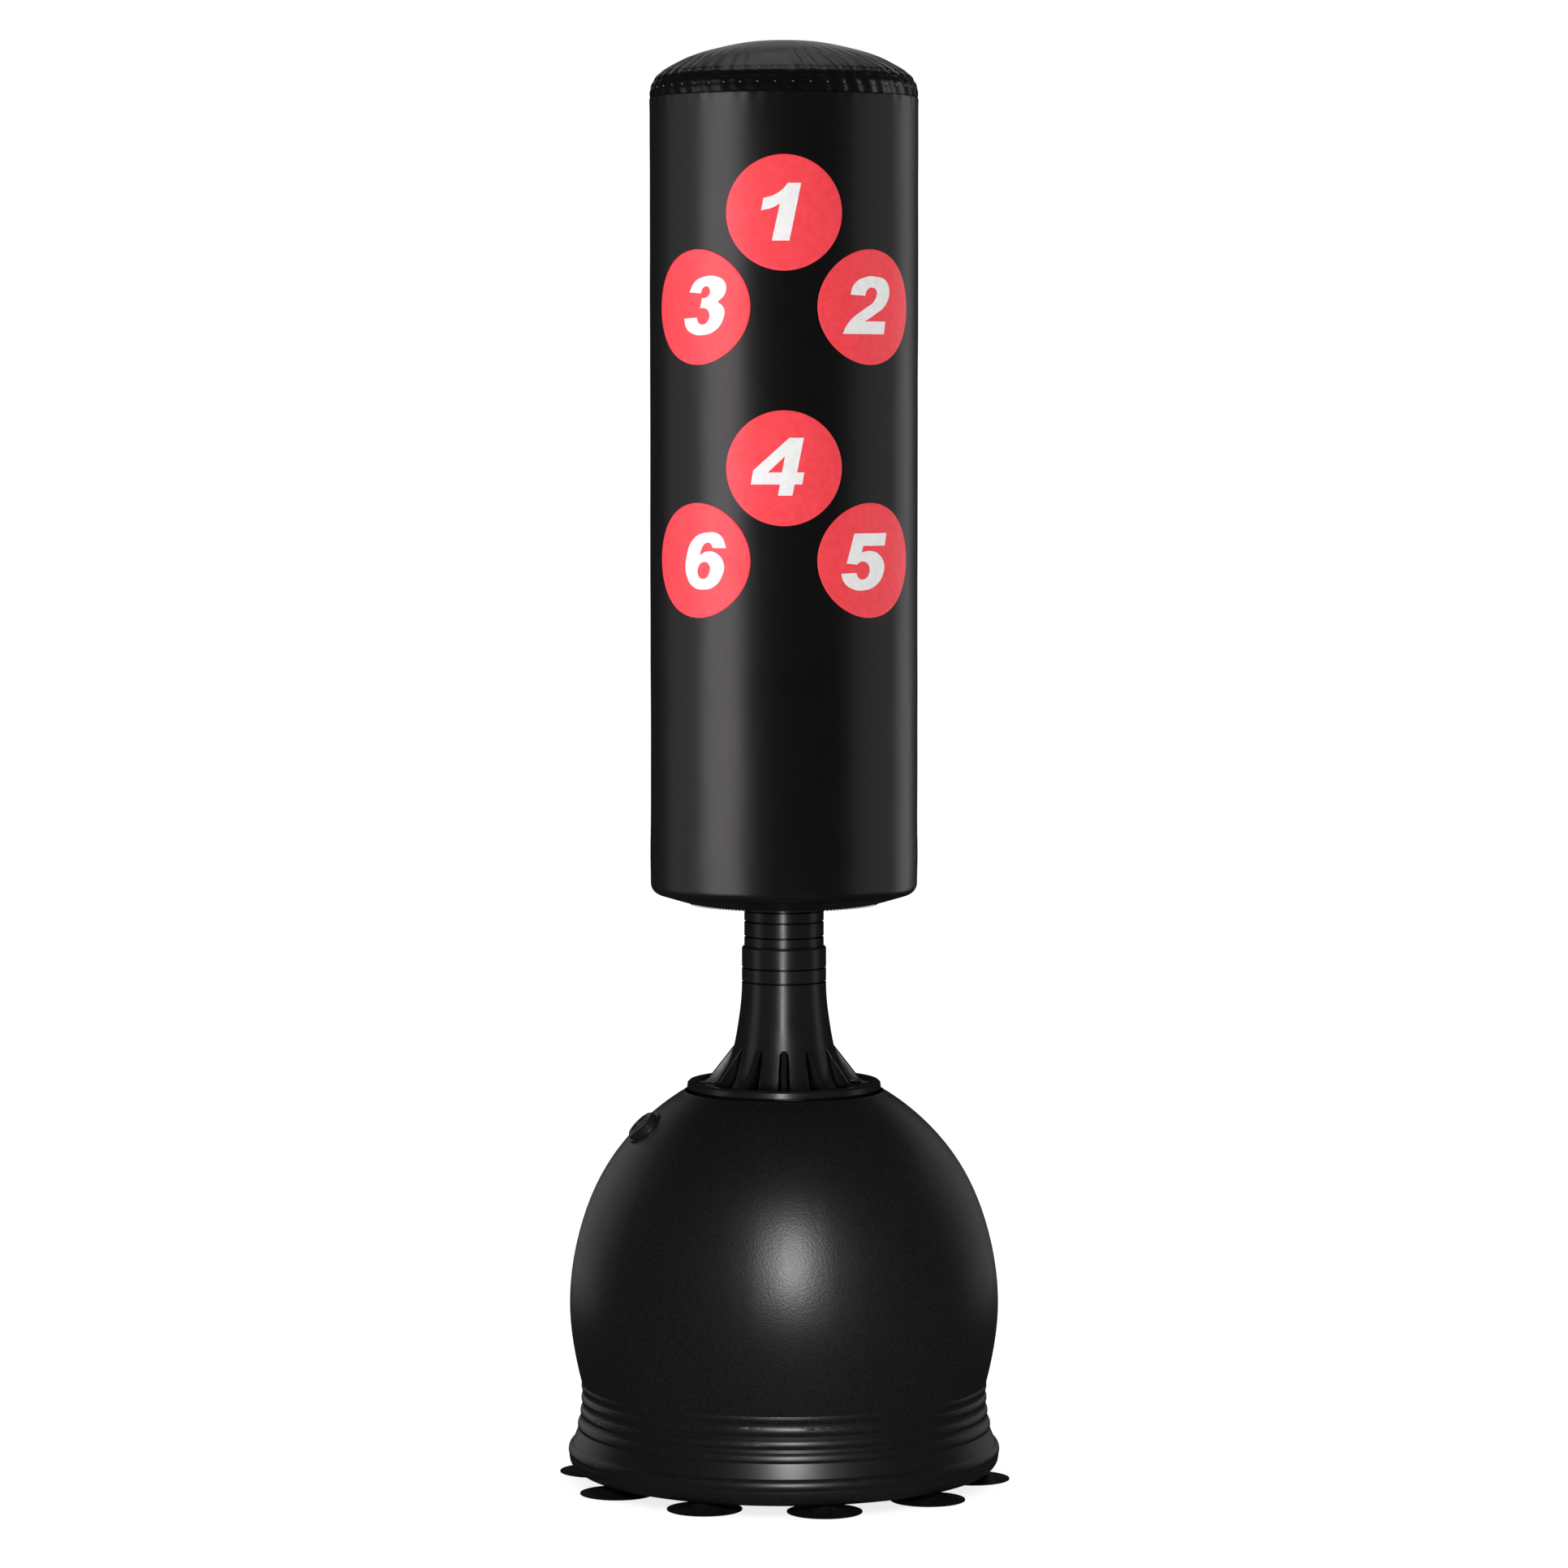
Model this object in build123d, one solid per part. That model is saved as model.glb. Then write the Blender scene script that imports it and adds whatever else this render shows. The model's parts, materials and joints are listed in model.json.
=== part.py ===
from build123d import *
from math import cos, radians, sin, tan
import os

# Free standing punching bag: a hollow ballasted base on suction cups, a sprung
# swivel in the top of the base, a ribbed flange with a tube, and a padded bag.
# Millimetres, +Z up, origin on the floor under the middle, front towards -Y.

# ---------------------------------------------------------------- driving dimensions
TOTAL_HEIGHT = 1750.0

# bag
BAG_RADIUS = 162.7
BAG_TOP_SEAM_Z = 1682.0
BAG_SEAM_RADIUS = 161.5
BAG_BOTTOM_Z = 703.6
BAG_EDGE_ROUNDING = 14.0      # radius of the rounded lower edge
UNDERSIDE_SLOPE = 16.4        # degrees that the underside falls from that edge to its flat panel
BAG_PANEL_RADIUS = 110.0      # radius of the flat bottom panel
COVER_THICKNESS = 1.3
SKIN_GAP = 0.4                # air between the cover and the foam
FOAM_CORE_RADIUS = 104.0
FOAM_TOP_Z = 1625.0           # where the foam sleeves end and the top block starts
TARGET_RADIUS = 68.5
TARGET_THICKNESS = 0.4
# name: (degrees from the front towards +X, height of the centre)
TARGETS = {
    "target_1": (0, 1536.6),
    "target_2": (39, 1425.9),
    "target_3": (-39, 1425.9),
    "target_4": (0, 1235.2),
    "target_5": (39, 1125.3),
    "target_6": (-39, 1125.3),
}

# tube inside the bag
TUBE_RADIUS = 48.5
TUBE_WALL = 4.0
TUBE_FOOT_Z = 556.0
TUBE_JOINT_Z = 1130.0
TUBE_TOP_Z = 1600.0
COUPLER_HALF_LENGTH = 70.0
COUPLER_WALL = 4.0
COUPLER_COLLAR = 6.0            # gap between the tubes that the collar fills
SLIP_GAP = 0.1                  # between a sleeve or plug and the bore it slides into
TUBE_CAP_WALL = 3.0
TUBE_CAP_DEPTH = 20.0
TUBE_CAP_THICKNESS = 5.0
TUBE_GROOVES_Z = (696.0, 683.0, 664.5)
GROOVE_DEPTH = 1.6
GROOVE_WIDTH = 2.4

# flange at the foot of the tube
PIVOT_Z = 480.0
COLLAR_RADIUS = 51.5
COLLAR_TOP_Z = 652.0
COLLAR_GROOVES_Z = (626.5, 609.5)
FLARE_START_Z = 606.0
FLANGE_BOTTOM_Z = 478.0
FLANGE_FLOOR_Z = 483.0
FLANGE_RIM_Z = 487.5
FLANGE_RADIUS = 118.5
FLANGE_CORE_RADIUS = 44.0       # hollow up the middle of the flange
FLARE_FOOT_RADIUS = 78.0
FLANGE_RIM_WIDTH = 11.0
FLANGE_SOCKET_GAP = 0.05        # round the tube in the collar
RIB_COUNT = 12
RIB_THICKNESS = 6.5
RIB_TOP_Z = 529.5
RIB_TOP_RADIUS = 61.8
RIB_FOOT_RADIUS = 93.0
SLOT_ARCH_Z = 524.0
SLOT_TOP_HALF_WIDTH = 5.4
SLOT_FOOT_HALF_WIDTH = 7.6
SLOT_BACK_RADIUS = 55.5

# swivel under the flange
BALL_RADIUS = 30.0
LINER_GAP = 0.3
LINER_OUTER_RADIUS = 35.7
BOWL_RADIUS = 36.0
BOWL_WALL = 5.0
BOWL_HOLE_RADIUS = 16.0
LINER_HOLE_RADIUS = 14.5
BEARING_PLATE_RADIUS = 112.0
BEARING_PLATE_THICKNESS = 5.0
TIE_BOLT_RADIUS = 6.0
TIE_BOLT_HEAD = 19.0            # across flats
TIE_BOLT_HEAD_HEIGHT = 8.0
TIE_BOLT_REACH = 36.0           # how far it goes down into the insert
BALL_TOP = 4.0                  # the ball's flats above and below its centre
BALL_FOOT = 26.0
TIE_WASHER_RADIUS = 15.0
TIE_WASHER_THICKNESS = 3.0
SPACER_RADIUS = 9.0
BOLT_HOLE_GAP = 0.2
FLANGE_BOLT_CIRCLE = 88.0
FLANGE_BOLT_RADIUS = 4.0
FLANGE_BOLT_ANGLES = (-15, 75, 165, 255)
FLANGE_BOLT_TAIL = 14.0         # length under the flange
FLANGE_BOLT_FLATS = 13.0
FLANGE_BOLT_HEAD = 5.3
FLANGE_WASHER_RADIUS = 8.0
FLANGE_WASHER_THICKNESS = 1.6
FLANGE_NUT_HEIGHT = 6.5
SPRING_CIRCLE = 80.0
SPRING_ANGLES = (30, 120, 210, 300)
SPRING_COIL_RADIUS = 13.0
SPRING_WIRE_RADIUS = 2.0
SPRING_TURNS = 5.5
SPRING_END_GAP = 0.2
SPRING_CUP_OUTER = 18.0
SPRING_CUP_INNER = 16.0
SPRING_CUP_HEIGHT = 4.0
SPRING_PEG_RADIUS = 9.5         # stub under the bearing plate that centres the spring
SPRING_PEG_LENGTH = 5.0
BUFFER_OUTER_RADIUS = 112.0
BUFFER_INNER_RADIUS = 101.0
BUFFER_HEIGHT = 26.0

# base
BASE_BOTTOM_Z = 10.5
BASE_MAX_RADIUS = 263.2
BASE_MAX_Z = 28.2
BASE_WAIST_RADIUS = 246.5
BASE_WAIST_Z = 112.0
BASE_LIP_RADIUS = 124.0
BASE_LIP_Z = 474.3
BASE_TOP_Z = 475.5
BASE_WALL = 5.0
WELL_RADIUS = 120.0
WELL_FLOOR_Z = 428.0
SEAT_PLATE_THICKNESS = 3.0
SEAT_PLATE_HOLE = 14.0
SEAT_SCREW_RADIUS = 2.9
SEAT_SCREW_LENGTH = 15.0
SEAT_SCREW_HEAD_RADIUS = 6.5
SEAT_SCREW_HEAD_HEIGHT = 3.5
INSERT_RADIUS = 5.0
INSERT_DEPTH = 18.0
INSERT_BOSS_RADIUS = 9.0
INSERT_BOSS_DEPTH = 24.0
BEADS_Z = (113.5, 98.5, 82.0, 65.5, 35.0)   # soft ridges round the skirt
BEAD_RADIUS = 11.0
BEAD_PROUD = 1.8
BALLAST_LEVEL_Z = 385.0
UNDERSIDE_PANEL_RADIUS = 182.0
UNDERSIDE_RECESS = 6.0
BALLAST_GAP = 0.7
ANCHOR_BOSS_RADIUS = 20.0
ANCHOR_BOSS_DEPTH = 46.0
ANCHOR_POCKET_RADIUS = 11.0
ANCHOR_DEPTH = 40.0
ANCHOR_FLATS = 18.5
POCKET_BOSS_RADIUS = 13.0

# filler neck and cap on the shoulder of the base
FILLER_ANGLE = -75.5          # degrees from the front towards +X
FILLER_AXIS_R = 175.3         # radius and height of the neck's axis on the shoulder
FILLER_AXIS_Z = 434.2
FILLER_TILT = 44.5            # degrees between the neck's axis and +Z
FILLER_BOSS_RADIUS = 24.5
FILLER_FACE = 1.5             # the flat face stands this far out along the axis
FILLER_BORE_RADIUS = 17.0
FILLER_NECK_DEPTH = 24.0
FILLER_NECK_WALL = 4.0
FILLER_CAP_RADIUS = 20.0
FILLER_CAP_HEIGHT = 5.0
FILLER_PLUG_RADIUS = 16.6
FILLER_PLUG_WALL = 3.0
FILLER_PLUG_LENGTH = 15.0
FILLER_SEAL_THICKNESS = 1.5
FILLER_SEAL_RADIUS = 21.0
FILLER_CAP_LIFT = 0.1           # hairline gap between the cap and its seal
FILLER_CAP_BEVEL = 1.8
FILLER_GRIP_RADIUS = 14.5
FILLER_GRIP_DEPTH = 3.2
FILLER_GRIP_BAR = 5.0
FILLER_NOTCHES = 24
FILLER_NOTCH_RADIUS = 1.3

# suction cups
CUP_COUNT = 10
CUP_STEP = 360 / CUP_COUNT
CUP_CIRCLE = 232.0
CUP_FIRST_ANGLE = 12.0
CUP_LIP_RADIUS = 45.0
CUP_STEM_RADIUS = 6.0
CUP_HEAD_RADIUS = 7.4
CUP_HEAD_Z = 20.0
CUP_HEAD_UNDER_Z = 18.0
CUP_HEAD_TOP_RADIUS = 3.5
CUP_SEAT_Z = BASE_BOTTOM_Z - 0.3   # where the cup's back meets its stem
CUP_FIT = 0.1
POCKET_TOP_Z = 25.5


# ---------------------------------------------------------------- helpers
def around(angle, radius, z=0.0):
    """A place at an angle from the front towards +X, turned so its local +X points outwards."""
    return Pos(radius * sin(radians(angle)), -radius * cos(radians(angle)), z) * Rot(0, 0, angle - 90)


def disc(radius, z0, z1):
    """A plain cylinder on the Z axis between two heights."""
    return Pos(0, 0, (z0 + z1) / 2) * Cylinder(radius, z1 - z0)


def ring(outer, inner, z0, z1):
    """A tube on the Z axis between two heights."""
    return disc(outer, z0, z1) - disc(inner, z0 - 1, z1 + 1)


def turned(*edges):
    """The solid turned about Z by a closed outline of (radius, height) edges."""
    outline = edges[0]
    for edge in edges[1:]:
        outline = outline + edge
    return revolve(Plane.XZ * make_face(outline), Axis.Z)


def hex_prism(across_flats, z0, z1):
    """A hexagonal bar on the Z axis between two heights."""
    sides = RegularPolygon(across_flats / 2, 6, major_radius=False)
    return extrude(Pos(0, 0, z0) * sides, z1 - z0)


def inset(edge, depth, count, first=0.0, last=1.0):
    """Points along an outline edge, moved by depth towards the inside of the wall."""
    points = []
    for i in range(count):
        t = first + (last - first) * i / (count - 1)
        place = edge @ t
        heading = edge % t
        points.append((place.X - heading.Y * depth, place.Y + heading.X * depth))
    return points


# ---------------------------------------------------------------- base
def base_outline():
    """Outer wall of the base, from the foot up: foot fillet, flared skirt and dome."""
    foot_radius = BASE_MAX_Z - BASE_BOTTOM_Z
    foot = JernArc((BASE_MAX_RADIUS - foot_radius, BASE_BOTTOM_Z), (1, 0), foot_radius, 90)
    skirt = Spline(
        (BASE_MAX_RADIUS, BASE_MAX_Z),
        (258.1, 46.0),
        (251.9, 62.7),
        (248.1, 80.0),
        (BASE_WAIST_RADIUS, BASE_WAIST_Z),
        tangents=((0, 1), (0, 1)),
    )
    dome = Spline(
        (BASE_WAIST_RADIUS, BASE_WAIST_Z),
        (253.2, 140.0),
        (262.1, 208.0),
        (251.6, 297.0),
        (220.7, 376.0),
        (174.2, 435.3),
        (BASE_LIP_RADIUS, BASE_LIP_Z),
    )
    return foot, skirt, dome


def inner_solid(depth, top_z):
    """What is left inside the base's outer wall when it is moved inwards by depth."""
    foot, skirt, dome = base_outline()
    floor_z = BASE_BOTTOM_Z + depth
    floor_radius = (foot @ 0).X
    points = inset(foot, depth, 3)[1:]
    points += inset(skirt, depth, 5)[1:-1]
    points += inset(dome, depth, 14, first=0.03, last=0.97)
    end_r, end_z = points[-1]
    return turned(
        Line((0, floor_z), (floor_radius, floor_z)),
        Line((floor_radius, floor_z), points[0]),
        Spline(*points),
        Line((end_r, end_z), (0, end_z)),
        Line((0, end_z), (0, floor_z)),
    ) & disc(BASE_MAX_RADIUS, 0, top_z)


def skirt_radius(z):
    """Radius of the plain skirt at a height."""
    skirt = base_outline()[1]
    low, high = 0.0, 1.0
    for _ in range(30):
        middle = (low + high) / 2
        if (skirt @ middle).Y < z:
            low = middle
        else:
            high = middle
    return (skirt @ low).X


def filler_place():
    """The filler neck's own frame: its origin on the shoulder, its +Z outwards along the neck."""
    return around(FILLER_ANGLE, FILLER_AXIS_R, FILLER_AXIS_Z) * Rot(0, FILLER_TILT, 0)


def base_shell():
    foot, skirt, dome = base_outline()
    lip_inner = WELL_RADIUS - 2
    outer = turned(
        Line((0, BASE_BOTTOM_Z), foot @ 0),
        foot,
        skirt,
        dome,
        Line(dome @ 1, (BASE_LIP_RADIUS - 1.5, BASE_TOP_Z)),
        Line((BASE_LIP_RADIUS - 1.5, BASE_TOP_Z), (lip_inner, BASE_TOP_Z)),
        Line((lip_inner, BASE_TOP_Z), (0, BASE_TOP_Z)),
        Line((0, BASE_TOP_Z), (0, BASE_BOTTOM_Z)),
    )
    for z in BEADS_Z:
        outer += Pos(0, 0, z) * Torus(skirt_radius(z) - BEAD_RADIUS + BEAD_PROUD, BEAD_RADIUS)

    cavity = inner_solid(BASE_WALL, BASE_TOP_Z)
    recess_top = BASE_BOTTOM_Z + UNDERSIDE_RECESS
    cavity -= disc(UNDERSIDE_PANEL_RADIUS + BASE_WALL, 0, recess_top + BASE_WALL)
    cavity -= disc(WELL_RADIUS + BASE_WALL, WELL_FLOOR_Z - BASE_WALL, BASE_TOP_Z)
    for k in range(CUP_COUNT):
        place = around(CUP_FIRST_ANGLE + CUP_STEP * k, CUP_CIRCLE)
        cavity -= place * disc(POCKET_BOSS_RADIUS, 0, POCKET_TOP_Z + BASE_WALL)
    cavity -= disc(ANCHOR_BOSS_RADIUS, WELL_FLOOR_Z - ANCHOR_BOSS_DEPTH, WELL_FLOOR_Z)
    for angle in FLANGE_BOLT_ANGLES:
        boss = disc(INSERT_BOSS_RADIUS, WELL_FLOOR_Z - INSERT_BOSS_DEPTH, WELL_FLOOR_Z)
        cavity -= around(angle, FLANGE_BOLT_CIRCLE) * boss
    neck = disc(FILLER_BORE_RADIUS + FILLER_NECK_WALL, -FILLER_NECK_DEPTH, FILLER_FACE)
    cavity -= filler_place() * neck

    shell = outer - cavity
    shell -= Cone(UNDERSIDE_PANEL_RADIUS + 3, UNDERSIDE_PANEL_RADIUS, 2 * recess_top)
    shell += filler_place() * disc(FILLER_BOSS_RADIUS, -4, FILLER_FACE)
    shell -= filler_place() * disc(FILLER_BORE_RADIUS, -FILLER_NECK_DEPTH - 10, FILLER_FACE + 5)
    shell -= disc(WELL_RADIUS, WELL_FLOOR_Z, BASE_TOP_Z + 5)
    shell -= disc(ANCHOR_POCKET_RADIUS, WELL_FLOOR_Z - ANCHOR_DEPTH, WELL_FLOOR_Z + 1)
    for angle in FLANGE_BOLT_ANGLES:
        pocket = disc(INSERT_RADIUS, WELL_FLOOR_Z - INSERT_DEPTH, WELL_FLOOR_Z + 1)
        shell -= around(angle, FLANGE_BOLT_CIRCLE) * pocket
    for k in range(CUP_COUNT):
        place = around(CUP_FIRST_ANGLE + CUP_STEP * k, CUP_CIRCLE)
        shell -= place * disc(CUP_STEM_RADIUS + CUP_FIT, 0, CUP_HEAD_UNDER_Z - 0.5)
        shell -= place * disc(CUP_HEAD_RADIUS + CUP_FIT, CUP_HEAD_UNDER_Z - 0.5, POCKET_TOP_Z)
    return shell


def ballast():
    """Water or sand that fills the base up to just under the well."""
    fill = inner_solid(BASE_WALL + BALLAST_GAP, BALLAST_LEVEL_Z)
    recess_top = BASE_BOTTOM_Z + UNDERSIDE_RECESS
    stand_off = BASE_WALL + BALLAST_GAP
    fill -= disc(UNDERSIDE_PANEL_RADIUS + stand_off, 0, recess_top + stand_off)
    for k in range(CUP_COUNT):
        place = around(CUP_FIRST_ANGLE + CUP_STEP * k, CUP_CIRCLE)
        fill -= place * disc(POCKET_BOSS_RADIUS + BALLAST_GAP, 0, POCKET_TOP_Z + stand_off)
    boss_low = WELL_FLOOR_Z - ANCHOR_BOSS_DEPTH - BALLAST_GAP
    return fill - disc(ANCHOR_BOSS_RADIUS + BALLAST_GAP, boss_low, WELL_FLOOR_Z)


def suction_cup():
    """One rubber cup: a thin flared lip, a domed back and a push-in stem with a mushroom head."""
    back = Spline(
        (CUP_LIP_RADIUS, 1.0),
        (30.0, 3.4),
        (19.0, 6.4),
        (12.0, CUP_SEAT_Z),
        tangents=((-1, 0.08), (-0.75, 0.65)),
    )
    under = Spline(
        (0, 5.6),
        (22.0, 2.6),
        (CUP_LIP_RADIUS - 4.0, 0.0),
        tangents=((1, 0), (1, -0.12)),
    )
    head_top = CUP_HEAD_Z + 4.0
    return turned(
        Line((CUP_LIP_RADIUS - 4.0, 0), (CUP_LIP_RADIUS, 0)),
        Line((CUP_LIP_RADIUS, 0), back @ 0),
        back,
        Line(back @ 1, (CUP_STEM_RADIUS, CUP_SEAT_Z)),
        Line((CUP_STEM_RADIUS, CUP_SEAT_Z), (CUP_STEM_RADIUS, CUP_HEAD_UNDER_Z)),
        Line((CUP_STEM_RADIUS, CUP_HEAD_UNDER_Z), (CUP_HEAD_RADIUS, CUP_HEAD_UNDER_Z)),
        Line((CUP_HEAD_RADIUS, CUP_HEAD_UNDER_Z), (CUP_HEAD_RADIUS, CUP_HEAD_Z)),
        Line((CUP_HEAD_RADIUS, CUP_HEAD_Z), (CUP_HEAD_TOP_RADIUS, head_top)),
        Line((CUP_HEAD_TOP_RADIUS, head_top), (0, head_top)),
        Line((0, head_top), under @ 0),
        under,
    )


# ---------------------------------------------------------------- filler cap
def filler_seal():
    """Flat rubber ring between the filler neck and the head of its cap."""
    seal = ring(FILLER_SEAL_RADIUS, FILLER_BORE_RADIUS + 0.2, 0, FILLER_SEAL_THICKNESS)
    return filler_place() * Pos(0, 0, FILLER_FACE) * seal


def filler_cap():
    """A screw cap: a bevelled, notched head with a sunk grip bar, over a hollow plug."""
    low = FILLER_SEAL_THICKNESS + FILLER_CAP_LIFT
    top = low + FILLER_CAP_HEIGHT
    bevel = FILLER_CAP_BEVEL
    head = turned(
        Line((0, low), (FILLER_CAP_RADIUS, low)),
        Line((FILLER_CAP_RADIUS, low), (FILLER_CAP_RADIUS, top - bevel)),
        Line((FILLER_CAP_RADIUS, top - bevel), (FILLER_CAP_RADIUS - bevel, top)),
        Line((FILLER_CAP_RADIUS - bevel, top), (0, top)),
        Line((0, top), (0, low)),
    )
    head -= disc(FILLER_GRIP_RADIUS, top - FILLER_GRIP_DEPTH, top + 1)
    bar_top = top - 0.2
    bar_low = top - FILLER_GRIP_DEPTH - 0.8
    bar = Box(2 * FILLER_GRIP_RADIUS - 1, FILLER_GRIP_BAR, bar_top - bar_low)
    head += Pos(0, 0, (bar_top + bar_low) / 2) * bar
    notch = Pos(FILLER_CAP_RADIUS + 0.6, 0, low) * Cylinder(FILLER_NOTCH_RADIUS, 3 * FILLER_CAP_HEIGHT)
    for k in range(FILLER_NOTCHES):
        head -= Rot(0, 0, 360 / FILLER_NOTCHES * k) * notch
    plug = ring(FILLER_PLUG_RADIUS, FILLER_PLUG_RADIUS - FILLER_PLUG_WALL, -FILLER_PLUG_LENGTH, low + 1)
    return filler_place() * Pos(0, 0, FILLER_FACE) * (head + plug)


# ---------------------------------------------------------------- swivel
def spring_seat_plate():
    """Steel plate on the floor of the well, with a shallow cup for the foot of each spring."""
    top = WELL_FLOOR_Z + SEAT_PLATE_THICKNESS
    plate = ring(WELL_RADIUS - 1.0, SEAT_PLATE_HOLE, WELL_FLOOR_Z, top)
    for angle in SPRING_ANGLES:
        cup = ring(SPRING_CUP_OUTER, SPRING_CUP_INNER, top - 0.5, top + SPRING_CUP_HEIGHT)
        plate += around(angle, SPRING_CIRCLE) * cup
    for angle in FLANGE_BOLT_ANGLES:
        hole = disc(INSERT_RADIUS - 0.5, WELL_FLOOR_Z - 1, top + 1)
        plate -= around(angle, FLANGE_BOLT_CIRCLE) * hole
    return plate


def seat_plate_screws():
    """Four pan head screws that hold the seat plate down into the base's inserts."""
    top = WELL_FLOOR_Z + SEAT_PLATE_THICKNESS
    head_top = top + SEAT_SCREW_HEAD_HEIGHT
    screw = disc(SEAT_SCREW_RADIUS, WELL_FLOOR_Z - SEAT_SCREW_LENGTH, top + 0.5)
    screw += disc(SEAT_SCREW_HEAD_RADIUS, top, head_top)
    cross = Box(7.0, 1.4, 2.4) + Box(1.4, 7.0, 2.4)
    screw -= Pos(0, 0, head_top - 0.5) * cross
    return [around(angle, FLANGE_BOLT_CIRCLE) * screw for angle in FLANGE_BOLT_ANGLES]


def seat_plate_inserts():
    """Four brass inserts moulded into the floor of the well."""
    low = WELL_FLOOR_Z - INSERT_DEPTH + 0.1
    insert = ring(INSERT_RADIUS - 0.05, SEAT_SCREW_RADIUS + 0.1, low, WELL_FLOOR_Z - 0.1)
    return [around(angle, FLANGE_BOLT_CIRCLE) * insert for angle in FLANGE_BOLT_ANGLES]


def anchor_insert():
    """Threaded steel insert for the tie bolt, moulded into the middle of the well."""
    body = hex_prism(ANCHOR_FLATS, WELL_FLOOR_Z - ANCHOR_DEPTH + 0.1, WELL_FLOOR_Z - 0.1)
    return body - disc(TIE_BOLT_RADIUS + 0.05, WELL_FLOOR_Z - ANCHOR_DEPTH - 1, WELL_FLOOR_Z + 1)


def tie_bolt():
    """Long hexagon bolt that holds the swivel down to the base."""
    head_z = PIVOT_Z + BALL_TOP + TIE_WASHER_THICKNESS
    shank = disc(TIE_BOLT_RADIUS, WELL_FLOOR_Z - TIE_BOLT_REACH, head_z + 0.5)
    head = hex_prism(TIE_BOLT_HEAD, head_z, head_z + TIE_BOLT_HEAD_HEIGHT)
    rounding = Pos(0, 0, head_z - 18.0) * Sphere(28.0)
    return shank + (head & rounding)


def tie_washer():
    low = PIVOT_Z + BALL_TOP
    return ring(TIE_WASHER_RADIUS, TIE_BOLT_RADIUS + 0.3, low, low + TIE_WASHER_THICKNESS)


def thrust_ball():
    """Part ball on the tie bolt; its centre is the centre of the swivel."""
    ball = Pos(0, 0, PIVOT_Z) * Sphere(BALL_RADIUS)
    ball &= disc(BALL_RADIUS + 1, PIVOT_Z - BALL_FOOT, PIVOT_Z + BALL_TOP)
    return ball - disc(TIE_BOLT_RADIUS + BOLT_HOLE_GAP, PIVOT_Z - BALL_RADIUS, PIVOT_Z + BALL_RADIUS)


def spacer_sleeve():
    """Steel tube on the tie bolt between the well floor and the ball."""
    return ring(SPACER_RADIUS, TIE_BOLT_RADIUS + BOLT_HOLE_GAP, WELL_FLOOR_Z, PIVOT_Z - BALL_FOOT)


def pivot_liner():
    """Acetal bowl between the ball and the bearing plate's bowl, open at the bottom."""
    bowl = Pos(0, 0, PIVOT_Z) * (Sphere(LINER_OUTER_RADIUS) - Sphere(BALL_RADIUS + LINER_GAP))
    bowl &= disc(LINER_OUTER_RADIUS + 1, PIVOT_Z - LINER_OUTER_RADIUS, PIVOT_Z)
    return bowl - disc(LINER_HOLE_RADIUS, PIVOT_Z - 2 * BALL_RADIUS, PIVOT_Z - BALL_RADIUS / 2)


def bearing_plate():
    """Pressed steel plate under the flange, with the bowl that rides on the liner."""
    low = FLANGE_BOTTOM_Z - BEARING_PLATE_THICKNESS
    plate = disc(BEARING_PLATE_RADIUS, low, FLANGE_BOTTOM_Z)
    bowl = Pos(0, 0, PIVOT_Z) * Sphere(BOWL_RADIUS + BOWL_WALL)
    plate += bowl & disc(BOWL_RADIUS + BOWL_WALL + 1, WELL_FLOOR_Z, FLANGE_BOTTOM_Z)
    plate -= Pos(0, 0, PIVOT_Z) * Sphere(BOWL_RADIUS)
    plate -= disc(BOWL_HOLE_RADIUS, WELL_FLOOR_Z, PIVOT_Z - BOWL_RADIUS / 2)
    for angle in FLANGE_BOLT_ANGLES:
        hole = disc(FLANGE_BOLT_RADIUS + 0.3, low - 1, FLANGE_BOTTOM_Z + 1)
        plate -= around(angle, FLANGE_BOLT_CIRCLE) * hole
    for angle in SPRING_ANGLES:
        peg = disc(SPRING_PEG_RADIUS, low - SPRING_PEG_LENGTH, low + 1)
        plate += around(angle, SPRING_CIRCLE) * peg
    return plate


def spring(angle):
    """One compression spring between the seat plate and the bearing plate."""
    low = WELL_FLOOR_Z + SEAT_PLATE_THICKNESS + SPRING_WIRE_RADIUS + SPRING_END_GAP
    high = FLANGE_BOTTOM_Z - BEARING_PLATE_THICKNESS - SPRING_WIRE_RADIUS - SPRING_END_GAP
    path = Helix(pitch=(high - low) / SPRING_TURNS, height=high - low, radius=SPRING_COIL_RADIUS)
    section = Plane(origin=path @ 0, z_dir=path % 0) * Circle(SPRING_WIRE_RADIUS)
    coil = sweep(section, path=path, is_frenet=True)
    return around(angle, SPRING_CIRCLE, low) * coil


def buffer_ring():
    """Rubber ring round the well that stops the swivel softly at the end of its travel."""
    low = WELL_FLOOR_Z + SEAT_PLATE_THICKNESS
    return ring(BUFFER_OUTER_RADIUS, BUFFER_INNER_RADIUS, low, low + BUFFER_HEIGHT)


# ---------------------------------------------------------------- flange
def groove(radius, z):
    """Cutter for a ring groove round a tube."""
    half = GROOVE_WIDTH / 2
    return ring(radius + 5, radius - GROOVE_DEPTH, z - half, z + half)


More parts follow.
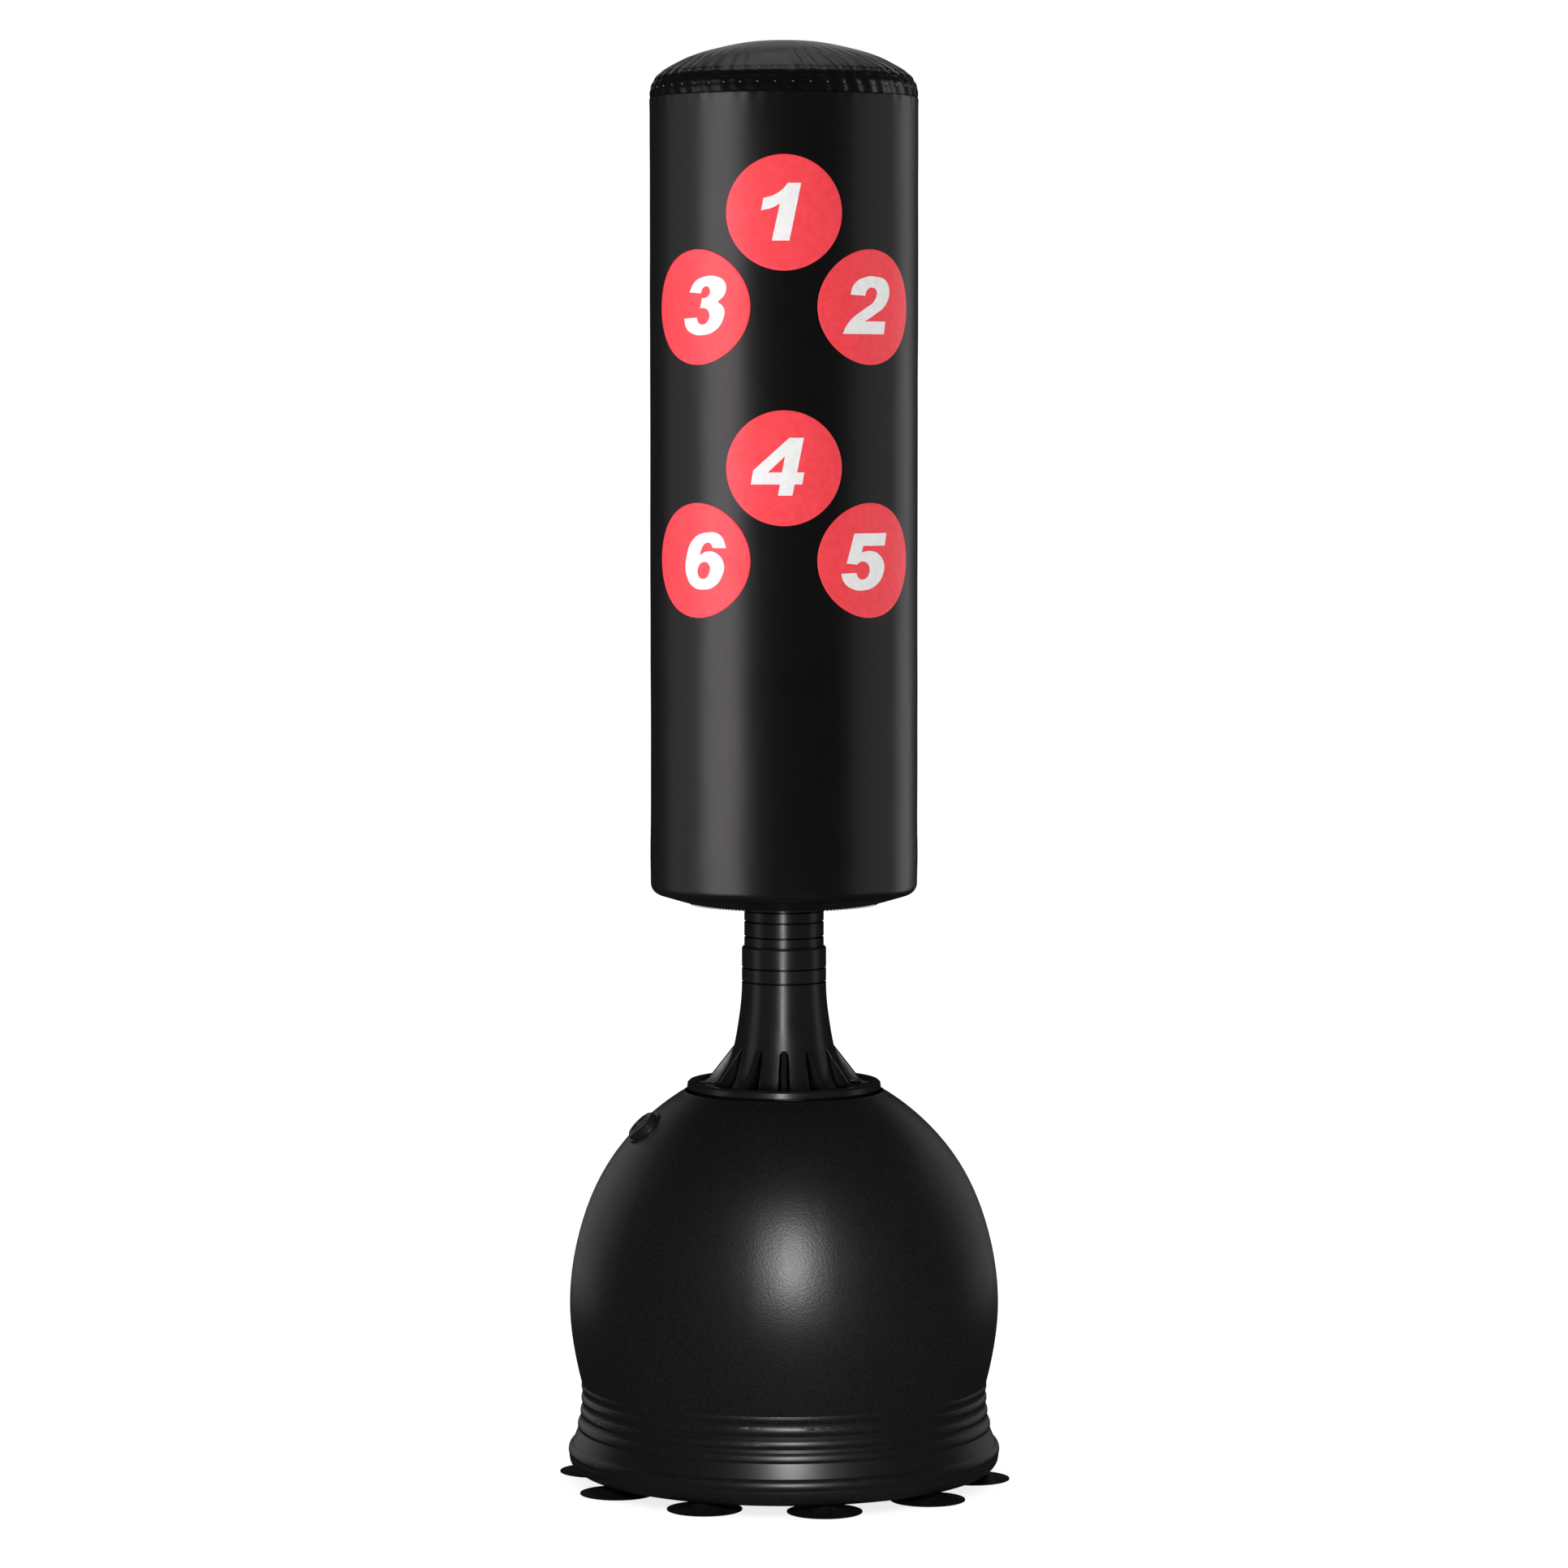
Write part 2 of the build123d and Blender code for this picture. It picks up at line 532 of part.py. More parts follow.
def flange_turning():
    """The flange's turned body: collar, flare, floor and raised rim."""
    flare = Spline(
        (COLLAR_RADIUS, FLARE_START_Z),
        (56.0, 558.0),
        (61.5, 528.5),
        (67.5, 508.0),
        (FLARE_FOOT_RADIUS, FLANGE_FLOOR_Z),
        tangents=((0, -1), (0.62, -0.78)),
    )
    rim_inner = FLANGE_RADIUS - FLANGE_RIM_WIDTH
    socket = TUBE_RADIUS + FLANGE_SOCKET_GAP
    body = turned(
        Line((FLANGE_CORE_RADIUS, FLANGE_BOTTOM_Z), (FLANGE_CORE_RADIUS, TUBE_FOOT_Z)),
        Line((FLANGE_CORE_RADIUS, TUBE_FOOT_Z), (socket, TUBE_FOOT_Z)),
        Line((socket, TUBE_FOOT_Z), (socket, COLLAR_TOP_Z)),
        Line((socket, COLLAR_TOP_Z), (COLLAR_RADIUS - 1.0, COLLAR_TOP_Z)),
        Line((COLLAR_RADIUS - 1.0, COLLAR_TOP_Z), (COLLAR_RADIUS, COLLAR_TOP_Z - 2.0)),
        Line((COLLAR_RADIUS, COLLAR_TOP_Z - 2.0), (COLLAR_RADIUS, FLARE_START_Z)),
        flare,
        Line((FLARE_FOOT_RADIUS, FLANGE_FLOOR_Z), (rim_inner - 1.5, FLANGE_FLOOR_Z)),
        Line((rim_inner - 1.5, FLANGE_FLOOR_Z), (rim_inner, FLANGE_RIM_Z - 1.0)),
        Line((rim_inner, FLANGE_RIM_Z - 1.0), (rim_inner + 1.0, FLANGE_RIM_Z)),
        Line((rim_inner + 1.0, FLANGE_RIM_Z), (FLANGE_RADIUS - 3.0, FLANGE_RIM_Z)),
        Line((FLANGE_RADIUS - 3.0, FLANGE_RIM_Z), (FLANGE_RADIUS - 0.6, FLANGE_RIM_Z - 2.4)),
        Line((FLANGE_RADIUS - 0.6, FLANGE_RIM_Z - 2.4), (FLANGE_RADIUS, FLANGE_BOTTOM_Z + 1.0)),
        Line((FLANGE_RADIUS, FLANGE_BOTTOM_Z + 1.0), (FLANGE_RADIUS - 1.0, FLANGE_BOTTOM_Z)),
        Line((FLANGE_RADIUS - 1.0, FLANGE_BOTTOM_Z), (FLANGE_CORE_RADIUS, FLANGE_BOTTOM_Z)),
    )
    for z in COLLAR_GROOVES_Z:
        body -= groove(COLLAR_RADIUS, z)
    return body


def rib_slot():
    """Cutter for the round-topped recess in the flare that each rib stands in."""
    top_half = SLOT_TOP_HALF_WIDTH
    foot_half = SLOT_FOOT_HALF_WIDTH
    outline = (
        Line((-foot_half, FLANGE_FLOOR_Z), (foot_half, FLANGE_FLOOR_Z))
        + Line((foot_half, FLANGE_FLOOR_Z), (top_half, SLOT_ARCH_Z))
        + ThreePointArc((top_half, SLOT_ARCH_Z), (0, SLOT_ARCH_Z + top_half), (-top_half, SLOT_ARCH_Z))
        + Line((-top_half, SLOT_ARCH_Z), (-foot_half, FLANGE_FLOOR_Z))
    )
    return Pos(SLOT_BACK_RADIUS, 0, 0) * extrude(Plane.YZ * make_face(outline), 40)


def rib():
    """One upright rib: a sloping edge from the flare to the floor, and a low web to the rim."""
    root = 50.0
    web_end = FLANGE_RADIUS - FLANGE_RIM_WIDTH + 1.0
    outline = Polyline(
        (root, FLANGE_FLOOR_Z - 0.5),
        (web_end, FLANGE_FLOOR_Z - 0.5),
        (web_end, FLANGE_RIM_Z - 1.2),
        (RIB_FOOT_RADIUS + 4.0, FLANGE_RIM_Z - 0.6),
        (RIB_FOOT_RADIUS, FLANGE_RIM_Z + 2.0),
        (RIB_TOP_RADIUS, RIB_TOP_Z),
        (root, RIB_TOP_Z + 4.5),
        close=True,
    )
    plate = extrude(Plane.XZ * make_face(outline), RIB_THICKNESS / 2, both=True)
    sloping = [e for e in plate.edges() if 45 < e.length < 55 and e.center().X > 70]
    return fillet(sloping, 1.0)


def flange():
    body = flange_turning()
    slot = rib_slot()
    upright = rib()
    for k in range(RIB_COUNT):
        body -= Rot(0, 0, 30 * k - 90) * slot
    for k in range(RIB_COUNT):
        body += Rot(0, 0, 30 * k - 90) * upright
    for angle in FLANGE_BOLT_ANGLES:
        place = around(angle, FLANGE_BOLT_CIRCLE)
        body -= place * disc(FLANGE_BOLT_RADIUS + 0.3, FLANGE_BOTTOM_Z - 1, FLANGE_FLOOR_Z + 1)
    return body


def flange_bolts():
    """Four hexagon bolts that clamp the flange to the bearing plate."""
    head_z = FLANGE_FLOOR_Z + FLANGE_WASHER_THICKNESS
    bolt = disc(FLANGE_BOLT_RADIUS, FLANGE_BOTTOM_Z - FLANGE_BOLT_TAIL, head_z + 0.5)
    bolt += hex_prism(FLANGE_BOLT_FLATS, head_z, head_z + FLANGE_BOLT_HEAD)
    return [around(angle, FLANGE_BOLT_CIRCLE) * bolt for angle in FLANGE_BOLT_ANGLES]


def flange_washers():
    top = FLANGE_FLOOR_Z + FLANGE_WASHER_THICKNESS
    washer = ring(FLANGE_WASHER_RADIUS, FLANGE_BOLT_RADIUS + BOLT_HOLE_GAP, FLANGE_FLOOR_Z, top)
    return [around(angle, FLANGE_BOLT_CIRCLE) * washer for angle in FLANGE_BOLT_ANGLES]


def flange_nuts():
    top = FLANGE_BOTTOM_Z - BEARING_PLATE_THICKNESS
    low = top - FLANGE_NUT_HEIGHT
    nut = hex_prism(FLANGE_BOLT_FLATS, low, top) - disc(FLANGE_BOLT_RADIUS + 0.05, low - 1, top + 1)
    return [around(angle, FLANGE_BOLT_CIRCLE) * nut for angle in FLANGE_BOLT_ANGLES]


# ---------------------------------------------------------------- tube
def lower_tube():
    """The tube that shows at the neck, with its ring grooves."""
    tube = ring(TUBE_RADIUS, TUBE_RADIUS - TUBE_WALL, TUBE_FOOT_Z + 0.2, TUBE_JOINT_Z)
    for z in TUBE_GROOVES_Z:
        tube -= groove(TUBE_RADIUS, z)
    return tube


def upper_tube():
    return ring(TUBE_RADIUS, TUBE_RADIUS - TUBE_WALL, TUBE_JOINT_Z + COUPLER_COLLAR, TUBE_TOP_Z)


def tube_coupler():
    """Sleeve inside both tubes, with a collar between their ends."""
    bore = TUBE_RADIUS - TUBE_WALL
    inner = bore - COUPLER_WALL
    low = TUBE_JOINT_Z - COUPLER_HALF_LENGTH
    high = TUBE_JOINT_Z + COUPLER_HALF_LENGTH
    sleeve = ring(bore - SLIP_GAP, inner, low, high)
    return sleeve + ring(TUBE_RADIUS, inner, TUBE_JOINT_Z + 0.1, TUBE_JOINT_Z + COUPLER_COLLAR - 0.1)


def tube_cap():
    """Plug that closes the top of the tube."""
    bore = TUBE_RADIUS - TUBE_WALL
    plug = ring(bore - SLIP_GAP, bore - TUBE_CAP_WALL, TUBE_TOP_Z - TUBE_CAP_DEPTH, TUBE_TOP_Z + 1)
    return plug + disc(TUBE_RADIUS, TUBE_TOP_Z + 0.1, TUBE_TOP_Z + TUBE_CAP_THICKNESS)


# ---------------------------------------------------------------- bag
def cover_lower_edge(depth):
    """The rounded lower edge of the bag and its sloping underside, moved inwards by depth."""
    slope = radians(UNDERSIDE_SLOPE)
    bend_r = BAG_RADIUS - BAG_EDGE_ROUNDING * (1 - sin(slope))
    bend_z = BAG_BOTTOM_Z + (bend_r - BAG_PANEL_RADIUS) * tan(slope)
    top_z = bend_z + BAG_EDGE_ROUNDING * cos(slope)
    start = (BAG_RADIUS - depth, top_z)
    bend = JernArc(start, (0, -1), BAG_EDGE_ROUNDING - depth, UNDERSIDE_SLOPE - 90)
    return bend, Line(bend @ 1, (BAG_PANEL_RADIUS, BAG_BOTTOM_Z + depth / cos(slope)))


def bag_dome(depth):
    """The domed top of the bag, from the middle out to the seam, moved inwards by depth."""
    dome = Spline(
        (0, TOTAL_HEIGHT),
        (85.8, 1738.6),
        (134.7, 1719.0),
        (155.9, 1703.0),
        (BAG_SEAM_RADIUS, BAG_TOP_SEAM_Z),
        tangents=((1, 0), (0.05, -1)),
    )
    if depth == 0:
        return dome
    return Spline(*inset(dome, -depth, 8), tangents=((1, 0), (0.05, -1)))


def bag_cover():
    """The wrap round the side of the bag, closed over its rounded lower edge."""
    top = BAG_TOP_SEAM_Z - 0.1
    outer_bend, outer_slope = cover_lower_edge(0)
    inner_bend, inner_slope = cover_lower_edge(COVER_THICKNESS)
    return turned(
        Line((BAG_RADIUS, top), outer_bend @ 0),
        outer_bend,
        outer_slope,
        Line(outer_slope @ 1, inner_slope @ 1),
        inner_slope,
        inner_bend,
        Line(inner_bend @ 0, (BAG_RADIUS - COVER_THICKNESS, top)),
        Line((BAG_RADIUS - COVER_THICKNESS, top), (BAG_RADIUS, top)),
    )


def bag_top_cap():
    """The gathered cap over the top of the bag."""
    outer = bag_dome(0)
    inner = bag_dome(COVER_THICKNESS)
    return turned(
        outer,
        Line(outer @ 1, inner @ 1),
        inner,
        Line(inner @ 0, (0, TOTAL_HEIGHT)),
    )


def bag_bottom_panel():
    """Flat panel under the bag, with a hole for the tube."""
    return ring(BAG_PANEL_RADIUS - 0.5, TUBE_RADIUS + 1.0, BAG_BOTTOM_Z, BAG_BOTTOM_Z + COVER_THICKNESS)


def foam_core():
    """Stiff closed cell foam sleeve on the tube."""
    low = BAG_BOTTOM_Z + COVER_THICKNESS + SKIN_GAP
    return ring(FOAM_CORE_RADIUS, TUBE_RADIUS + 0.4, low, FOAM_TOP_Z)


def foam_outer():
    """Soft foam layer round the core, up to the top block."""
    bend, slope = cover_lower_edge(COVER_THICKNESS + SKIN_GAP)
    radius = BAG_RADIUS - COVER_THICKNESS - SKIN_GAP
    inner = FOAM_CORE_RADIUS + 0.3
    return turned(
        Line((radius, FOAM_TOP_Z), bend @ 0),
        bend,
        slope,
        Line(slope @ 1, (inner, (slope @ 1).Y)),
        Line((inner, (slope @ 1).Y), (inner, FOAM_TOP_Z)),
        Line((inner, FOAM_TOP_Z), (radius, FOAM_TOP_Z)),
    )


def foam_top():
    """Domed foam block under the top cap."""
    dome = bag_dome(COVER_THICKNESS + SKIN_GAP)
    low = FOAM_TOP_Z + 0.3
    rim = dome @ 1
    return turned(
        dome,
        Line(rim, (rim.X, low)),
        Line((rim.X, low), (0, low)),
        Line((0, low), dome @ 0),
    )


def target(angle, z):
    """One round printed patch that follows the side of the bag."""
    inner = BAG_RADIUS + 0.05
    sheet = ring(inner + TARGET_THICKNESS, inner, z - TARGET_RADIUS - 5, z + TARGET_RADIUS + 5)
    cutter = around(angle, BAG_RADIUS, z) * Rot(0, 90, 0) * Cylinder(TARGET_RADIUS, 140)
    return sheet & cutter


# ---------------------------------------------------------------- write the parts
def all_nodes():
    nodes = {
        "base_shell": base_shell(),
        "ballast": ballast(),
        "filler_seal": filler_seal(),
        "filler_cap": filler_cap(),
        "spring_seat_plate": spring_seat_plate(),
        "seat_plate_screws": seat_plate_screws(),
        "seat_plate_inserts": seat_plate_inserts(),
        "anchor_insert": anchor_insert(),
        "tie_bolt": tie_bolt(),
        "tie_washer": tie_washer(),
        "thrust_ball": thrust_ball(),
        "spacer_sleeve": spacer_sleeve(),
        "pivot_liner": pivot_liner(),
        "bearing_plate": bearing_plate(),
        "buffer_ring": buffer_ring(),
        "flange": flange(),
        "flange_bolts": flange_bolts(),
        "flange_washers": flange_washers(),
        "flange_nuts": flange_nuts(),
        "lower_tube": lower_tube(),
        "upper_tube": upper_tube(),
        "tube_coupler": tube_coupler(),
        "tube_cap": tube_cap(),
        "foam_core": foam_core(),
        "foam_outer": foam_outer(),
        "foam_top": foam_top(),
        "bag_cover": bag_cover(),
        "bag_top_cap": bag_top_cap(),
        "bag_bottom_panel": bag_bottom_panel(),
    }
    cup = suction_cup()
    for k in range(CUP_COUNT):
        nodes[f"suction_cup_{k + 1:02d}"] = around(CUP_FIRST_ANGLE + CUP_STEP * k, CUP_CIRCLE) * cup
    for k, angle in enumerate(SPRING_ANGLES):
        nodes[f"spring_{k + 1}"] = spring(angle)
    for name, (angle, z) in TARGETS.items():
        nodes[name] = target(angle, z)
    return nodes


os.makedirs("parts", exist_ok=True)
for node, shape in all_nodes().items():
    solids = shape if isinstance(shape, list) else [shape]
    export_step(Compound([s for part in solids for s in part.solids()]), f"parts/{node}.step")
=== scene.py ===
import bpy
import bmesh
import json
from math import asin, cos, exp, pi, radians, sin, sqrt, tan
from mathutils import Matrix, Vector, noise


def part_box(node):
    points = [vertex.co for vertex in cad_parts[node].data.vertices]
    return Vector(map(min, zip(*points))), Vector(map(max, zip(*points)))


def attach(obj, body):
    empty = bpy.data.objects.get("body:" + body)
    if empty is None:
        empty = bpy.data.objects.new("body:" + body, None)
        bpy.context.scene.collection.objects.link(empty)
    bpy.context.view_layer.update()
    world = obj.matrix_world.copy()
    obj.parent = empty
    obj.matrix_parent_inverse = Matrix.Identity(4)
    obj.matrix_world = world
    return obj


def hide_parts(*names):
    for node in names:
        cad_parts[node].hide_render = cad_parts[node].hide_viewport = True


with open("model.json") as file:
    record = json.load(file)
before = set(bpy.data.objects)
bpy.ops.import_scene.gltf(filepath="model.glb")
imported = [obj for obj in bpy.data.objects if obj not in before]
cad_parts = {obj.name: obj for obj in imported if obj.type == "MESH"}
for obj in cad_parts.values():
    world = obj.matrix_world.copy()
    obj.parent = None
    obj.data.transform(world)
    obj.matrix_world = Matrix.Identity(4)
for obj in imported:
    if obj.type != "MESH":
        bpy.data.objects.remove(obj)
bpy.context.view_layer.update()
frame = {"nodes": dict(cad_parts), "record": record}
nodes = frame["nodes"]

# Free standing punching bag: the CAD nodes carry the base, swivel, flange and tube;
# the wrap with its underside, the gathered cap, the stitches and the targets are made here.
# Metres, +Z up, front towards -Y.

# ---------------------------------------------------------------- sizes from the frame
cap_low, cap_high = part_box("bag_top_cap")
panel_low, panel_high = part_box("bag_bottom_panel")
disc_low, disc_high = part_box("target_1")

BAG_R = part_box("bag_cover")[1].x
TUBE_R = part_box("lower_tube")[1].x
BAG_BOTTOM = panel_low.z
PANEL_R = panel_high.x
SEAM_Z = cap_low.z
APEX_Z = cap_high.z
SEAM_R = cap_high.x
DISC_R = (disc_high.x - disc_low.x) / 2
TARGET_ANGLES = {1: 0, 2: 39, 3: -39, 4: 0, 5: 39, 6: -39}
PLEATS = 48                    # gathers round the cap, with one stitch of each row between two
STITCH_R = 0.00045             # half the thickness of the sewing thread


# ---------------------------------------------------------------- camera
CAMERA_PLACE = (0.0, -6.6, 1.29)
CAMERA_AIM = (0.0, 0.0, 0.85)
FOCAL_LENGTH = 124.73

camera = bpy.data.objects.new("camera", bpy.data.cameras.new("camera"))
bpy.context.scene.collection.objects.link(camera)
bpy.context.scene.camera = camera
camera.data.sensor_width = 36.0
camera.data.lens = FOCAL_LENGTH
camera.data.clip_end = 100.0
camera.location = CAMERA_PLACE
aim = Vector(CAMERA_AIM) - camera.location
camera.rotation_euler = aim.to_track_quat("-Z", "Y").to_euler()


# ---------------------------------------------------------------- materials
class Nodes:
    """A small wrapper that builds one material's node tree."""

    def __init__(self, name):
        self.material = bpy.data.materials.new(name)
        self.material.use_nodes = True
        self.tree = self.material.node_tree
        self.shader = self.tree.nodes["Principled BSDF"]
        self.place = self.add("ShaderNodeTexCoord").outputs["Object"]

    def add(self, kind, links=(), **values):
        node = self.tree.nodes.new(kind)
        for key, value in values.items():
            if key in node.inputs:
                node.inputs[key].default_value = value
            else:
                setattr(node, key, value)
        for socket, source in dict(links).items():
            self.tree.links.new(source, node.inputs[socket])
        return node

    def noise(self, scale, detail=3.0, stretch=(1, 1, 1)):
        place = self.place
        if stretch != (1, 1, 1):
            place = self.add("ShaderNodeMapping", {"Vector": place}, Scale=stretch).outputs[0]
        node = self.add("ShaderNodeTexNoise", {"Vector": place}, Scale=scale, Detail=detail)
        return node.outputs["Fac"]

    def cells(self, scale, feature="F1"):
        node = self.add("ShaderNodeTexVoronoi", {"Vector": self.place}, Scale=scale, feature=feature)
        return node.outputs["Distance"]

    def height(self):
        return self.add("ShaderNodeSeparateXYZ", {"Vector": self.place}).outputs["Z"]

    def remap(self, source, low, high, to_low, to_high):
        node = self.add("ShaderNodeMapRange", {"Value": source})
        node.inputs["From Min"].default_value = low
        node.inputs["From Max"].default_value = high
        node.inputs["To Min"].default_value = to_low
        node.inputs["To Max"].default_value = to_high
        return node.outputs["Result"]

    def maths(self, operation, a, b):
        node = self.add("ShaderNodeMath", operation=operation)
        for socket, value in zip(node.inputs, (a, b)):
            if isinstance(value, (int, float)):
                socket.default_value = value
            else:
                self.tree.links.new(value, socket)
        return node.outputs[0]

    def blend(self, factor, a, b):
        node = self.add("ShaderNodeMix", {"Factor": factor}, data_type="RGBA")
        colours = [s for s in node.inputs if s.type == "RGBA"]
        for socket, colour in zip(colours, (a, b)):
            socket.default_value = (*colour, 1.0)
        return [s for s in node.outputs if s.type == "RGBA"][0]

    def bump(self, source, strength, distance, under=None):
        node = self.add("ShaderNodeBump", {"Height": source}, Distance=distance)
        if isinstance(strength, (int, float)):
            node.inputs["Strength"].default_value = strength
        else:
            self.tree.links.new(strength, node.inputs["Strength"])
        if under is not None:
            self.tree.links.new(under, node.inputs["Normal"])
        return node.outputs["Normal"]

    def set(self, **links):
        names = {"colour": "Base Color", "roughness": "Roughness", "normal": "Normal"}
        for key, value in links.items():
            socket = self.shader.inputs[names[key]]
            if isinstance(value, tuple):
                socket.default_value = (*value, 1.0)
            elif isinstance(value, float):
                socket.default_value = value
            else:
                self.tree.links.new(value, socket)
        return self.material


SKIRT_TOP_Z = 0.108            # the skirt ends here, and the grain fades in above it
DOME_LOW_Z = 0.118
GRAIN_CELLS = 430.0


def base_plastic():
    """Black moulded plastic: pebble grain on the dome, smooth and glossier on the skirt."""
    m = Nodes("base_plastic")
    dome = m.remap(m.height(), SKIRT_TOP_Z, DOME_LOW_Z, 0.0, 1.0)
    grain = m.maths("ADD", m.noise(330.0, 3.0), m.maths("MULTIPLY", m.cells(GRAIN_CELLS), 0.7))
    strength = m.maths("MULTIPLY", dome, 0.22)
    wave = m.bump(m.noise(7.0, 2.0), 0.06, 0.004)
    patches = m.remap(m.noise(9.0, 3.0), 0.3, 0.7, -0.02, 0.03)
    base_rough = m.remap(m.height(), SKIRT_TOP_Z, DOME_LOW_Z, 0.35, 0.375)
    speckle = m.remap(m.cells(GRAIN_CELLS), 0.1, 0.6, 0.0, 1.0)
    colour = m.blend(speckle, (0.0090, 0.0094, 0.0106), (0.0042, 0.0044, 0.0052))
    return m.set(
        colour=colour,
        roughness=m.maths("ADD", base_rough, patches),
        normal=m.bump(grain, strength, 0.0006, under=wave),
    )


def smooth_plastic(name, dark, light, rough, grain=0.05):
    """Black moulded plastic with a faint eggshell surface."""
    m = Nodes(name)
    colour = m.blend(m.noise(60.0, 3.0), dark, light)
    roughness = m.remap(m.noise(24.0, 4.0), 0.3, 0.7, rough - 0.03, rough + 0.04)
    return m.set(colour=colour, roughness=roughness, normal=m.bump(m.noise(900.0, 3.0), grain, 0.0003))


def neck_plastic():
    """Glossier black plastic with painted shade in its narrow grooves and corners: ambient occlusion darkens
    the colour and takes away the specular reflection there.
    """
    m = Nodes("neck_plastic")
    occlusion = m.add("ShaderNodeAmbientOcclusion", Distance=0.006, samples=8).outputs["AO"]
    # painted shade: where ambient occlusion is low, the colour blends to the darker value and the specular
    # level falls to nothing
    unshaded_part = m.remap(occlusion, 0.55, 0.90, 0.0, 1.0)
    m.tree.links.new(m.maths("MULTIPLY", unshaded_part, 0.5), m.shader.inputs["Specular IOR Level"])
    roughness = m.remap(m.noise(24.0, 4.0), 0.3, 0.7, 0.24, 0.31)
    return m.set(
        colour=m.blend(unshaded_part, (0.0010, 0.0010, 0.0012), (0.0075, 0.0075, 0.0085)),
        roughness=roughness,
        normal=m.bump(m.noise(900.0, 3.0), 0.05, 0.0003),
    )


def rubber(name, dark, light, rough):
    """Black rubber with a faint bloom."""
    m = Nodes(name)
    colour = m.blend(m.remap(m.noise(90.0, 5.0), 0.35, 0.75, 0.0, 1.0), dark, light)
    roughness = m.remap(m.noise(55.0, 4.0), 0.3, 0.7, rough - 0.05, rough + 0.08)
    return m.set(colour=colour, roughness=roughness, normal=m.bump(m.noise(500.0, 4.0), 0.12, 0.0004))


def cover_leather(name, dark, light, rough, grain):
    """Coated artificial leather: fine pebble grain, slow changes of sheen."""
    m = Nodes(name)
    colour = m.blend(m.noise(30.0, 5.0), dark, light)
    roughness = m.remap(m.noise(11.0, 4.0, (1, 1, 0.35)), 0.3, 0.7, rough - 0.025, rough + 0.035)
    creases = m.bump(m.noise(26.0, 3.0, (1, 1, 0.5)), 0.06, 0.003)
    pebbles = m.bump(m.cells(900.0, "SMOOTH_F1"), grain, 0.0003, under=creases)
    return m.set(colour=colour, roughness=roughness, normal=pebbles)


def printed_vinyl(name, dark, light, rough):
    """Printed vinyl: the leather's grain shows through, with a slight mottling."""
    m = Nodes(name)
    colour = m.blend(m.remap(m.noise(120.0, 5.0), 0.35, 0.65, 0.0, 1.0), dark, light)
    roughness = m.remap(m.noise(35.0, 4.0), 0.3, 0.7, rough - 0.03, rough + 0.04)
    return m.set(colour=colour, roughness=roughness, normal=m.bump(m.cells(900.0, "SMOOTH_F1"), 0.06, 0.0003))


def brushed_metal(name, dark, light, rough):
    """Plated steel or brass with fine drawing marks and dull patches."""
    m = Nodes(name)
    m.shader.inputs["Metallic"].default_value = 1.0
    colour = m.blend(m.noise(70.0, 5.0), dark, light)
    roughness = m.remap(m.noise(260.0, 3.0, (1, 1, 0.08)), 0.3, 0.7, rough - 0.06, rough + 0.1)
    return m.set(colour=colour, roughness=roughness, normal=m.bump(m.noise(700.0, 2.0), 0.08, 0.0002))


def foam(name, dark, light):
    """Open cell foam."""
    m = Nodes(name)
    colour = m.blend(m.cells(420.0), dark, light)
    roughness = m.remap(m.noise(200.0, 3.0), 0.3, 0.7, 0.85, 0.98)
    return m.set(colour=colour, roughness=roughness, normal=m.bump(m.cells(520.0), 0.6, 0.0012))


def thread(name, dark, light):
    """Twisted sewing thread."""
    m = Nodes(name)
    colour = m.blend(m.noise(800.0, 3.0), dark, light)
    roughness = m.remap(m.noise(500.0, 2.0), 0.3, 0.7, 0.5, 0.75)
    return m.set(colour=colour, roughness=roughness, normal=m.bump(m.noise(1500.0, 2.0), 0.4, 0.0003))


LEATHER = cover_leather("cover_leather", (0.0030, 0.0030, 0.0031), (0.0046, 0.0045, 0.0046), 0.33, 0.05)
CAP_LEATHER = cover_leather("cap_leather", (0.0034, 0.0034, 0.0036), (0.0058, 0.0057, 0.0060), 0.37, 0.10)
RED = printed_vinyl("target_red", (0.86, 0.036, 0.052), (0.92, 0.048, 0.068), 0.42)
WHITE = printed_vinyl("numeral_white", (0.77, 0.77, 0.76), (0.84, 0.84, 0.83), 0.45)
THREAD = thread("stitch_thread", (0.20, 0.21, 0.23), (0.38, 0.39, 0.42))
DARK_THREAD = thread("dark_thread", (0.010, 0.010, 0.011), (0.022, 0.022, 0.024))
BASE = base_plastic()
NECK = neck_plastic()
CAP_PLASTIC = smooth_plastic("cap_plastic", (0.0042, 0.0044, 0.0050), (0.0070, 0.0072, 0.0080), 0.36, 0.10)
TUBE = smooth_plastic("tube_plastic", (0.010, 0.010, 0.011), (0.016, 0.016, 0.017), 0.40)
ACETAL = smooth_plastic("acetal", (0.74, 0.74, 0.70), (0.84, 0.84, 0.80), 0.30)
WATER = smooth_plastic("ballast_water", (0.24, 0.33, 0.38), (0.34, 0.44, 0.50), 0.12)
CUP = rubber("cup_rubber", (0.0045, 0.0045, 0.0048), (0.0105, 0.0105, 0.0112), 0.36)
SEAL = rubber("seal_rubber", (0.0030, 0.0030, 0.0032), (0.0060, 0.0060, 0.0064), 0.62)
ZINC = brushed_metal("zinc_steel", (0.42, 0.43, 0.45), (0.60, 0.61, 0.64), 0.34)
SPRING = brushed_metal("spring_steel", (0.24, 0.25, 0.27), (0.42, 0.43, 0.45), 0.30)
BRASS = brushed_metal("insert_brass", (0.58, 0.42, 0.16), (0.76, 0.58, 0.27), 0.30)
STIFF_FOAM = foam("foam_stiff", (0.60, 0.60, 0.57), (0.82, 0.82, 0.79))
SOFT_FOAM = foam("foam_soft", (0.26, 0.27, 0.29), (0.48, 0.49, 0.52))

